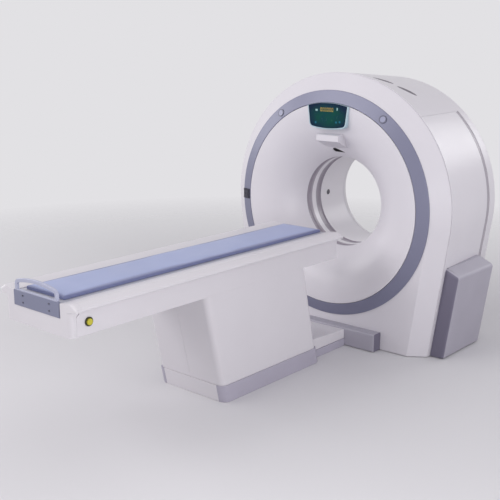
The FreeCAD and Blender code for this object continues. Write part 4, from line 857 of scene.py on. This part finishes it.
def rear_cover():
    """Bevelled arch, flat back and the flare round the bore, one moulding."""
    taper = (BACK_RADIUS - REAR_SEAM_RADIUS) / (BACK_Y - REAR_SEAM_Y)
    outer = eased([(REAR_SEAM_RADIUS - SEAM_LEAD, REAR_SEAM_Y), (REAR_SEAM_RADIUS, REAR_SEAM_Y),
                   (BACK_RADIUS, BACK_Y), (FLARE_RADIUS + FLARE_MARGIN, BACK_Y)],
                  [0, SEAM_EDGE, BACK_CORNER, 0], 10, closed=False)
    rows = [arch(r, y, sill(r)) for r, y in outer[1:]]
    start, end = Vector((LINER_END, BORE_RADIUS)), Vector((BACK_Y, FLARE_RADIUS))
    chord = end - start
    normal = Vector((-chord.y, chord.x)).normalized()
    centre = (start + end) / 2 + normal * math.sqrt(FLARE_CURVE ** 2 - (chord.length / 2) ** 2)
    rows += [hoop(r, y) for y, r in curve_between(end, start, centre, 18)]
    curve = FLARE_CURVE - COVER_WALL
    back = BACK_Y - COVER_WALL
    low = centre.y - math.sqrt(curve ** 2 - (LINER_END - centre.x) ** 2)
    high = centre.y - math.sqrt(curve ** 2 - (back - centre.x) ** 2)
    rows += [hoop(r, y) for y, r in curve_between((LINER_END, low), (back, high), centre, 10)]
    inside = BACK_CORNER - COVER_WALL
    corner = BACK_RADIUS - COVER_WALL - taper * COVER_WALL
    seam = REAR_SEAM_RADIUS - COVER_WALL
    inner = eased([(FLARE_RADIUS + FLARE_MARGIN, back), (corner, back), (seam, REAR_SEAM_Y)], [0, inside, 0], 6,
                  closed=False)
    rows += [arch(r, y, sill(r) + COVER_WALL) for r, y in inner]
    cover = smooth(shells("rear_cover_moulding", [rows]), CREASE)
    dress(cover, "gantry_white", "gantry", ("gantry_rear_cover", "rear_funnel"))


def side_bands():
    """The broad dark bands that close the grooves between the side covers and the rear cover."""
    low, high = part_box("side_gaskets")
    start, end, lid = low.y + BAND_INSET, high.y, COVER_WALL + BAND_BACK
    front, rear = skin_radius(start), skin_radius(end)
    profile = [(front - lid, start), (front + BAND_SEAT, start), (front + BAND_PROUD, start + BAND_LIP),
               (rear + BAND_PROUD * 0.2, end - BAND_FALL), (rear - BAND_BACK, end - BAND_EASE),
               (rear - lid, end)]
    rows = [[p for p in arch(radius, y) if p.x > 0 and BAND_FOOT < p.z < high.z] for radius, y in profile]
    loops = list(zip(*rows))
    right = block("side_band", loops)
    left = block("side_band_left", [[Vector((-p.x, p.y, p.z)) for p in loop] for loop in loops])
    bands = smooth(joined("side_bands", [right, left]), CREASE)
    dress(bands, slot_of("side_gaskets"), body_of("side_gaskets"), ("side_gaskets",))


def accent_ring():
    """The sloped slate ring that closes the gap between funnel and face."""
    start = RIM_RADIUS + COVER_WALL / 2 + RING_GAP
    corners = [(RIM_Y, start), (FACE_Y - RING_EDGE, FACE_RADIUS), (FACE_Y, FACE_RADIUS), (FACE_Y, start)]
    ring = lathe("accent_ring_turned", eased(corners, [*RING_ROUND, 0, 0], 5), steps=288)
    dress(ring, "ring_slate", "gantry", ("accent_ring",))


def hollow(start, end, back):
    """The outline of a seal: a flat-bottomed channel whose two walls sweep down from a thin lip."""
    lip, wall, count = 0.002, 0.009, 8
    floor = BORE_RADIUS + GROOVE_DEPTH
    shares = [i / count for i in range(count + 1)]
    sweep = [(wall * share, GROOVE_DEPTH * (1 - math.cos(math.pi * share)) / 2) for share in shares]
    front = [(start + lip + along, BORE_RADIUS + deep) for along, deep in sweep]
    rear = [(end - lip - along, BORE_RADIUS + deep) for along, deep in reversed(sweep)]
    return [(start, BORE_RADIUS), *front, ((start + end) / 2, floor), *rear, (end, BORE_RADIUS), (end, back),
            (start, back)]


def tube(start, end, back):
    """The outline of a plain tube round the bore with its two inner edges eased."""
    corners = [(start, BORE_RADIUS), (end, BORE_RADIUS), (end, back), (start, back)]
    return eased(corners, [TUBE_EDGE, TUBE_EDGE, 0, 0], 4)


def bore_pieces():
    """The scan window, the two hollow seals beside it and the liner with its lens holes."""
    low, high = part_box("scan_window")
    film_tube = lathe("scan_window_film", tube(low.y, high.y, high.x))
    dress(film_tube, "window_film", body_of("scan_window"), ("scan_window",))
    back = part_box("bore_seals")[1].x
    outlines = hollow(THROAT_Y, low.y, back), hollow(high.y, high.y + GROOVE_WIDTH, back)
    seals = lathe("bore_seals_turned", *outlines)
    # the seals' grey is painted shade for their grooves
    dress(seals, "seal_grey", body_of("bore_seals"), ("bore_seals",))
    low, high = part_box("bore_liner")
    liner = lathe("bore_liner_turned", tube(low.y, high.y, high.x))
    carve(liner, block("lens_drill", [lens_circle(x, LENS_RADIUS) for x in (-2 * high.x, 2 * high.x)]))
    smooth(liner)
    dress(liner, "liner_white", body_of("bore_liner"), ("bore_liner",))


# ---------------------------------------------------------------- repeated pieces

VENT_LENGTH, VENT_WIDTH, VENT_GAP = 0.165, 0.058, 0.0012
VENT_SLATS, VENT_STEPS, VENT_THICK, VENT_SUNK = 8, 16, 0.005, 0.0006
VENT_OVERLAP, VENT_ROUND = 1.2, 0.0006
VENT_PLACES, VENT_SEAM, VENT_TWIST = ((0.4, -0.190), (0.63, -0.110)), 0.696, math.radians(36.9)
SCREW_RADIUS, SCREW_PROUD, SCREW_EDGE = 0.006, 0.003, 0.0008
SOCKET_REACH, SOCKET_FLOOR = 0.0032, 0.0010


class Recipe:
    """A geometry node tree with named inputs, which ends in Realize Instances and Set Material."""

    def __init__(self, name, **inputs):
        self.tree = bpy.data.node_groups.new(name, "GeometryNodeTree")
        face = self.tree.interface
        for label, kind in inputs.items():
            face.new_socket(label, in_out="INPUT", socket_type=f"NodeSocket{kind}")
        face.new_socket("Pieces", in_out="OUTPUT", socket_type="NodeSocketGeometry")
        self.start = self.tree.nodes.new("NodeGroupInput")

    def step(self, kind, *, out=0, mode=None, **sockets):
        """Add a node and return one output; a socket takes a value, an input's name or a step's output."""
        made = self.tree.nodes.new(kind)
        if mode:
            made.mode = mode
        for key, value in sockets.items():
            socket = made.inputs[key.replace("_", " ")]
            if isinstance(value, str):
                value = self.start.outputs[value]
            if isinstance(value, bpy.types.NodeSocket):
                self.tree.links.new(value, socket)
            else:
                socket.default_value = value
        return made.outputs[out]

    def closed(self, shape):
        """End the tree and return it."""
        real = self.step("GeometryNodeRealizeInstances", Geometry=shape)
        paint = self.step("GeometryNodeSetMaterial", Geometry=real, Material="Finish")
        end = self.tree.nodes.new("NodeGroupOutput")
        self.tree.links.new(paint, end.inputs["Pieces"])
        return self.tree


def grown(host, tree, **values):
    """Run a node tree over a mesh with its inputs set, and keep the result as plain mesh."""
    modifier = host.modifiers.new(tree.name, "NODES")
    modifier.node_group = tree
    keys = {s.name: s.identifier for s in tree.interface.items_tree if s.in_out == "INPUT"}
    for key, value in values.items():
        modifier[keys[key]] = value
    return settle(host)


def louvre_tree():
    """Sweeps a rounded flat bar along every wire of a mesh."""
    recipe = Recipe("vent_louvre_tree", Wires="Geometry", Width="Float", Depth="Float", Rounding="Float",
                    Lean="Float", Finish="Material")
    wires = recipe.step("GeometryNodeMeshToCurve", Mesh="Wires")
    level = recipe.step("GeometryNodeSetCurveNormal", mode="Z_UP", Curve=wires)
    leaning = recipe.step("GeometryNodeSetCurveTilt", Curve=level, Tilt="Lean")
    bar = recipe.step("GeometryNodeCurvePrimitiveQuadrilateral", Width="Width", Height="Depth")
    rounded = recipe.step("GeometryNodeFilletCurve", mode="POLY", Curve=bar, Radius="Rounding")
    sweep = recipe.step("GeometryNodeCurveToMesh", Curve=leaning, Profile_Curve=rounded, Fill_Caps=True)
    return recipe.closed(sweep)


def repeater(name):
    """Sets one item, turned the same way, on every point of a mesh."""
    recipe = Recipe(name, Spots="Geometry", Item="Object", Turn="Vector", Size="Float", Finish="Material")
    item = recipe.step("GeometryNodeObjectInfo", out="Geometry", Object="Item")
    spread = recipe.step("GeometryNodeInstanceOnPoints", Points="Spots", Instance=item, Rotation="Turn",
                         Scale="Size")
    return recipe.closed(spread)


def vent_wire(row, side, turn, y, width):
    """The middle line of one louvre, sunk into the skin of a vent centred at this turn and depth."""
    off = width * ((row + 0.5) / VENT_SLATS * 2 - 1)
    length = (VENT_LENGTH / 2 - VENT_GAP) * math.sqrt(1 - (off / width) ** 2) - VENT_GAP
    spots = []
    for step in range(VENT_STEPS + 1):
        run = length * (2 * step / VENT_STEPS - 1)
        deep = y + run * math.sin(VENT_TWIST) - off * math.cos(VENT_TWIST)
        radius = skin_radius(deep) - VENT_SUNK - VENT_THICK / 2
        along = run * math.cos(VENT_TWIST) + off * math.sin(VENT_TWIST)
        angle = turn + side * along / skin_radius(y)
        spots.append((radius * math.sin(angle), deep, AXIS_HEIGHT + radius * math.cos(angle)))
    return spots


def vent_lean(side, turn):
    """The tilt that lays a louvre flat on the skin at a vent's middle."""
    middle = Vector((math.sin(turn), 0.0, math.cos(turn)))
    run = side * math.cos(VENT_TWIST)
    way = Vector((run * math.cos(turn), math.sin(VENT_TWIST), -run * math.sin(turn))).normalized()
    flat, across = way.cross(Vector((0, 0, 1))).normalized(), way.cross(middle).normalized()
    return math.atan2(way.dot(flat.cross(across)), flat.dot(across))


def vent_louvres():
    """Curved louvres that fill the oval vents of the top cover level with its skin."""
    tree, width, count = louvre_tree(), VENT_WIDTH / 2 - VENT_GAP, VENT_STEPS + 1
    pairs = [(row * count + i, row * count + i + 1) for row in range(VENT_SLATS) for i in range(VENT_STEPS)]
    vents = []
    for side in (1, -1):
        for share, y in VENT_PLACES:
            turn = side * share * math.acos(VENT_SEAM / skin_radius(y))
            spots = [spot for row in range(VENT_SLATS) for spot in vent_wire(row, side, turn, y, width)]
            vent = mesh_object("vent_louvres", spots, [], pairs)
            vents.append(grown(vent, tree, Width=VENT_OVERLAP * width / VENT_SLATS, Depth=VENT_THICK,
                               Rounding=VENT_ROUND, Lean=vent_lean(side, turn), Finish=FINISHES["vent_grey"]))
    louvres = smooth(outward(joined("vent_louvres", vents)), CREASE)
    dress(louvres, "vent_grey", body_of("top_vents"))


def repeated(name, item, spots, finish, turn=(0, 0, 0)):
    """One item on every spot as plain mesh; the item itself is dropped."""
    host = grown(mesh_object(name, spots, []), repeater(f"{name}_tree"), Item=item, Turn=turn, Size=1.0,
                 Finish=FINISHES[finish])
    bpy.data.objects.remove(item)
    return host


def screw():
    """A cap screw standing on its seat, its hexagon socket open at the top."""
    steps = 36
    turns = [2 * math.pi * i / steps for i in range(steps)]
    outer, top = [SCREW_RADIUS] * steps, [SCREW_RADIUS - SCREW_EDGE] * steps
    hexagon = [SOCKET_REACH / math.cos((a + math.pi / 6) % (math.pi / 3) - math.pi / 6) for a in turns]
    profile = [(outer, 0.0), (outer, SCREW_PROUD - SCREW_EDGE), (top, SCREW_PROUD), (hexagon, SCREW_PROUD),
               (hexagon, SOCKET_FLOOR)]
    rows = [[(r * math.cos(a), r * math.sin(a), z) for r, a in zip(reach, turns)] for reach, z in profile]
    return smooth(block("screw_item", rows))


def plate_screws():
    """The four screws that hold the handle's plate."""
    low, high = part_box("plate_screws")
    spots = [(x, high.y, z) for x in (low.x + SCREW_RADIUS, high.x - SCREW_RADIUS)
             for z in (low.z + SCREW_RADIUS, high.z - SCREW_RADIUS)]
    host = repeated("plate_screws_set", screw(), spots, "screw_steel", (math.pi / 2, 0, 0))
    dress(host, "screw_steel", body_of("plate_screws"), ("plate_screws",))


# ---------------------------------------------------------------- handle and tub corners

HANDLE_TOP, HANDLE_SHOULDER, HANDLE_BEND = 1.014, 0.962, 0.035
HANDLE_BAR, HANDLE_DEEP, HANDLE_RAIL, HANDLE_ROUND = 0.021, 0.0168, 0.006, 0.0028


def handle_arch(half, bend, top):
    """The handle's shallow arch between two bends, left to right, in x and z."""
    rise, run = top - HANDLE_SHOULDER, half - bend
    radius = (run ** 2 + rise ** 2 - bend ** 2) / (2 * (rise - bend))
    centre = (0.0, top - radius)
    lean = math.degrees(math.atan2(run, HANDLE_SHOULDER - centre[1]))
    return (arc((-run, HANDLE_SHOULDER), bend, 180, 90 + lean, 8)
            + arc(centre, radius, 90 + lean, 90 - lean, 28)[1:-1]
            + arc((run, HANDLE_SHOULDER), bend, 90 - lean, 0, 8))


def handle():
    """A stout grip bent over the plate and closed along the plate's top edge, its edges well rounded."""
    low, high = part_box("handle")
    half, foot = high.x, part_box("handle_plate")[1].z
    outer = handle_arch(half, HANDLE_BEND, HANDLE_TOP)
    inner = handle_arch(half - HANDLE_BAR, HANDLE_BEND - HANDLE_BAR, HANDLE_TOP - HANDLE_BAR)
    outer = [(-half, foot), *outer, (half, foot)]
    inner = [(HANDLE_BAR - half, foot + HANDLE_RAIL), *inner, (half - HANDLE_BAR, foot + HANDLE_RAIL)]
    front, back = low.y, low.y + HANDLE_DEEP
    lines = (outer, front), (outer, back), (inner, back), (inner, front)
    grip = shells("handle_grip", [[[(x, y, z) for x, z in line] for line, y in lines]])
    rounded = grip.modifiers.new("rounded", "BEVEL")
    rounded.width, rounded.segments, rounded.angle_limit = HANDLE_ROUND, 4, math.radians(CREASE)
    settle(grip)
    smooth(grip, CREASE)
    dress(grip, "handle_lavender", body_of("handle"), ("handle",))


def tub_corners():
    """The end cap's two corners that fill the side panels' slanted ends, a groove away from them."""
    low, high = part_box("side_panels")
    size, groove, wall, sunk = 0.036, 0.0045, 0.009, 0.0006
    foot, top = low.y - 0.001, high.z + 0.001
    outline = [(foot, top), (foot, top - size + groove), (low.y + size - groove, top)]
    planes = high.x - sunk, high.x - wall
    corners = [block("tub_corner", [[(side * x, y, z) for y, z in outline] for x in planes])
               for side in (-1, 1)]
    made = smooth(joined("tub_corners", corners))
    dress(made, "table_white", body_of("side_panels"))


# ---------------------------------------------------------------- the pad

PAD_SLACK, PAD_REACH, PAD_VOXEL = 0.003, 0.0035, 0.006
PAD_PRESSURE, PAD_FRAMES = 4.0, 20


def pad_blank():
    """The cut foam before it is covered: a closed slab, slightly small, its long sides drawn in a little."""
    low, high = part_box("table_pad")
    half, drawn, steps = (high.x - low.x) / 2 - PAD_SLACK, 0.004, 24
    foot, gantry = low.y + PAD_SLACK, high.y - PAD_SLACK
    side = [(half - drawn * math.sin(math.pi * i / steps), foot + (gantry - foot) * i / steps)
            for i in range(steps + 1)]
    outline = side + [(-x, y) for x, y in reversed(side)]
    rows = [[(x, y, z) for x, y in outline] for z in (low.z, high.z - PAD_SLACK - 0.001)]
    verts, faces = band(rows, closed=False)
    count, last = len(outline), 2 * steps + 1
    for i in range(steps):
        for start in (0, count):
            faces.append((start + i, start + i + 1, start + last - i - 1, start + last - i))
    return outward(mesh_object("patient_pad", verts, faces))


def filled(pad, base):
    """Fill the pad like a bag under pressure; no point goes past what the cover gives, or below its base."""
    began = [v.co.copy() for v in pad.data.vertices]
    resting = pad.vertex_groups.new(name="resting")
    resting.add([i for i, co in enumerate(began) if co.z < base + PAD_VOXEL / 4], 1.0, "REPLACE")
    cloth = pad.modifiers.new("filling", "CLOTH")
    cloth.settings.vertex_group_mass = "resting"
    cloth.settings.use_pressure = True
    cloth.settings.uniform_pressure_force = PAD_PRESSURE
    cloth.settings.effector_weights.gravity = 0
    for frame in range(1, PAD_FRAMES + 1):
        bpy.context.scene.frame_set(frame)
    settle(pad)
    bpy.context.scene.frame_set(1)
    for vertex, start in zip(pad.data.vertices, began):
        move = vertex.co - start
        if move.length > PAD_REACH:
            vertex.co = start + move.normalized() * PAD_REACH
        vertex.co.z = max(vertex.co.z, base)


def cushion():
    """The table pad: a thin flat mattress, filled by a short cloth simulation."""
    low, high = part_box("table_pad")
    pad = pad_blank()
    remesh = pad.modifiers.new("even", "REMESH")
    remesh.mode, remesh.voxel_size = "VOXEL", PAD_VOXEL
    settle(pad)
    filled(pad, low.z)
    finer = pad.modifiers.new("finer", "SUBSURF")
    finer.levels = finer.render_levels = 1
    settle(pad)
    for face in pad.data.polygons:
        face.use_smooth = True
    dress(pad, "pad_blue", body_of("table_pad"), ("table_pad",))


# ---------------------------------------------------------------- the display

DISPLAY_TOP_HALF, DISPLAY_LOW_HALF, DISPLAY_LOW = 0.185, 0.165, 0.574
DISPLAY_SAG, DISPLAY_CORNER, DISPLAY_BEZEL, DISPLAY_TOP = 0.016, 0.040, 0.009, 0.0012
DISPLAY_CROWN = RIM_RADIUS + COVER_WALL / 2 + RING_GAP - 0.0006
BEZEL_ROUND, BEZEL_STEPS, GLASS_GAP = 0.0040, 4, 0.0003
GLASS_SEAT, GLASS_EDGE, CROWN_ROUND = 0.0012, 0.0008, 0.0005
MARK_PROUD, MARK_SUNK = 0.0003, 0.0010
FIGURES, FIGURES_START, FIGURES_PITCH, FIGURES_HEIGHT = 6, -0.058, 0.0205, 0.720
PALE_MARKS = ((-0.100, 0.714, 0.010, 0.007), (0.088, 0.727, 0.005, 0.010))


def display_outline(inset, top_inset):
    """The display's outline in x and z from the axis: arched top, tapered sides, round corners, low sag."""
    top, wide = DISPLAY_CROWN - top_inset, DISPLAY_TOP_HALF - inset
    low, narrow = DISPLAY_LOW + inset, DISPLAY_LOW_HALF - inset
    shoulder = math.degrees(math.acos(wide / top))
    crown = arc((0.0, 0.0), top, 180 - shoulder, shoulder, 24)
    curve = (narrow ** 2 + DISPLAY_SAG ** 2) / (2 * DISPLAY_SAG)
    reach = [narrow * share for share in (1, 0.6, 0.3, 0, -0.3, -0.6, -1)]
    floor = [(x, low + curve - math.sqrt(curve ** 2 - x ** 2)) for x in reach]
    ease = [0] * len(crown) + [DISPLAY_CORNER - inset] + [0.05] * 5 + [DISPLAY_CORNER - inset]
    return eased(crown + floor, ease, 5)


def at_depth(outline, y):
    """An outline in x and z from the axis, at one depth; y may be a function of the radius."""
    return [(x, y(math.hypot(x, z)) if callable(y) else y, AXIS_HEIGHT + z) for x, z in outline]


def display():
    """The pale bezel, which stands on the funnel, and the flat dark glass let into it."""
    low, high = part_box("display_glass")
    front, floor, wall = low.y, high.y, DISPLAY_BEZEL

    def funnel(radius):
        return funnel_y(min(radius, RIM_RADIUS))

    seat = display_outline(wall - GLASS_GAP, DISPLAY_TOP - GLASS_GAP)
    lip = display_outline(wall - GLASS_GAP - GLASS_EDGE, DISPLAY_TOP - GLASS_GAP)
    rows = [at_depth(seat, floor), at_depth(seat, front + GLASS_SEAT), at_depth(lip, front)]
    for i in range(BEZEL_STEPS + 1):
        turn = math.pi / 2 * i / BEZEL_STEPS
        outline = display_outline(BEZEL_ROUND * (1 - math.sin(turn)), CROWN_ROUND * (1 - i / BEZEL_STEPS))
        rows.append(at_depth(outline, front + BEZEL_ROUND * (1 - math.cos(turn))))
    rows.append(at_depth(display_outline(0.0, 0.0), funnel))
    bezel = smooth(block("display_bezel_moulding", rows))
    dress(bezel, "display_pale", body_of("display_bezel"), ("display_bezel",))
    pane = [(x, z + AXIS_HEIGHT) for x, z in display_outline(wall, DISPLAY_TOP)]
    glass = slab("display_pane", pane, front, floor)
    dress(glass, "display_dark", body_of("display_glass"), ("display_glass",))


def digit():
    """A noughts figure of six slanted segments, as a display's numbers are made."""
    half, tall, wide, gap = 0.0056, 0.0125, 0.0026, 0.0006
    strokes = [((-half, tall), (half, tall)), ((-half, -tall), (half, -tall))]
    for side in (-half, half):
        strokes += [((side, gap), (side, tall)), ((side, -tall), (side, -gap))]
    bars = []
    for i, (a, b) in enumerate(strokes):
        a, b = Vector(a), Vector(b)
        run = (b - a).normalized()
        cross = Vector((-run.y, run.x)) * wide / 2
        tip = run * wide / 2
        upper = [a + tip * 0.2, a + tip + cross, b - tip + cross]
        lower = [b - tip * 0.2, b - tip - cross, a + tip - cross]
        bars.append(slab(f"segment_{i}", upper + lower, -MARK_PROUD, MARK_SUNK))
    return joined("digit_item", bars)


def display_marks():
    """The amber figures and the pale marks beside them, a hair proud of the display's glass."""
    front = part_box("display_glass")[0].y
    spots = [(FIGURES_START + i * FIGURES_PITCH, front, AXIS_HEIGHT + FIGURES_HEIGHT) for i in range(FIGURES)]
    figures = repeated("display_digits", digit(), spots, "display_amber")
    dress(figures, "display_amber", body_of("display_glass"))
    marks = []
    for i, (x, up, half, tall) in enumerate(PALE_MARKS):
        z = AXIS_HEIGHT + up
        corners = [(x - half, z - tall), (x + half, z - tall), (x + half, z + tall), (x - half, z + tall)]
        outline = eased(corners, [half * 0.25] * 4, 2)
        marks.append(slab(f"mark_{i}", outline, front - MARK_PROUD, front + MARK_SUNK))
    dress(joined("display_lamps", marks), "display_mark", body_of("display_glass"))


# ---------------------------------------------------------------- everything together

REBUILT = {
    "gantry_front_cover", "front_funnel", "gantry_rear_cover", "rear_funnel", "side_gaskets", "accent_ring",
    "scan_window", "bore_seals", "bore_liner", "laser_window", "display_bezel", "display_glass", "table_pad",
    "plate_screws", "handle",
}
EDGE, KEEN_ANGLE = 0.001, 28
EDGES = {
    "gantry_top_cover": 0.0018, "side_cover_left": 0.0018, "side_cover_right": 0.0018, "foot_covers": 0.004,
    "front_ledge": 0.003, "light_bracket": 0.011, "ring_markers": 0.0012, "key_panel": 0.0015,
    "key_upper": 0.0012, "key_lower": 0.0012, "tub_rims": 0.005, "side_panels": 0.0035,
    "tub_end_caps": 0.0035, "base_skirts": 0.0025, "base_end_panel": 0.002, "link_cover": 0.006,
    "pedestal_covers": 0.0008, "cradle": 0.003, "handle_plate": 0.0015, "stop_button": 0.0012,
    "button_bezel": 0.0015,
}


def build():
    """The pieces with a shape of their own here, then every other CAD node with its edges broken."""
    front_cover()
    rear_cover()
    side_bands()
    vent_louvres()
    accent_ring()
    light_windows()
    bore_pieces()
    plate_screws()
    handle()
    tub_corners()
    cushion()
    display()
    display_marks()
    for node in frame["nodes"]:
        if node not in REBUILT:
            softened(node, EDGES.get(node, EDGE))


bpy.context.scene.view_settings.view_transform = "Standard"
add_camera()
light_studio()
light_world()
FINISHES = make_finishes()
add_floor()
build()
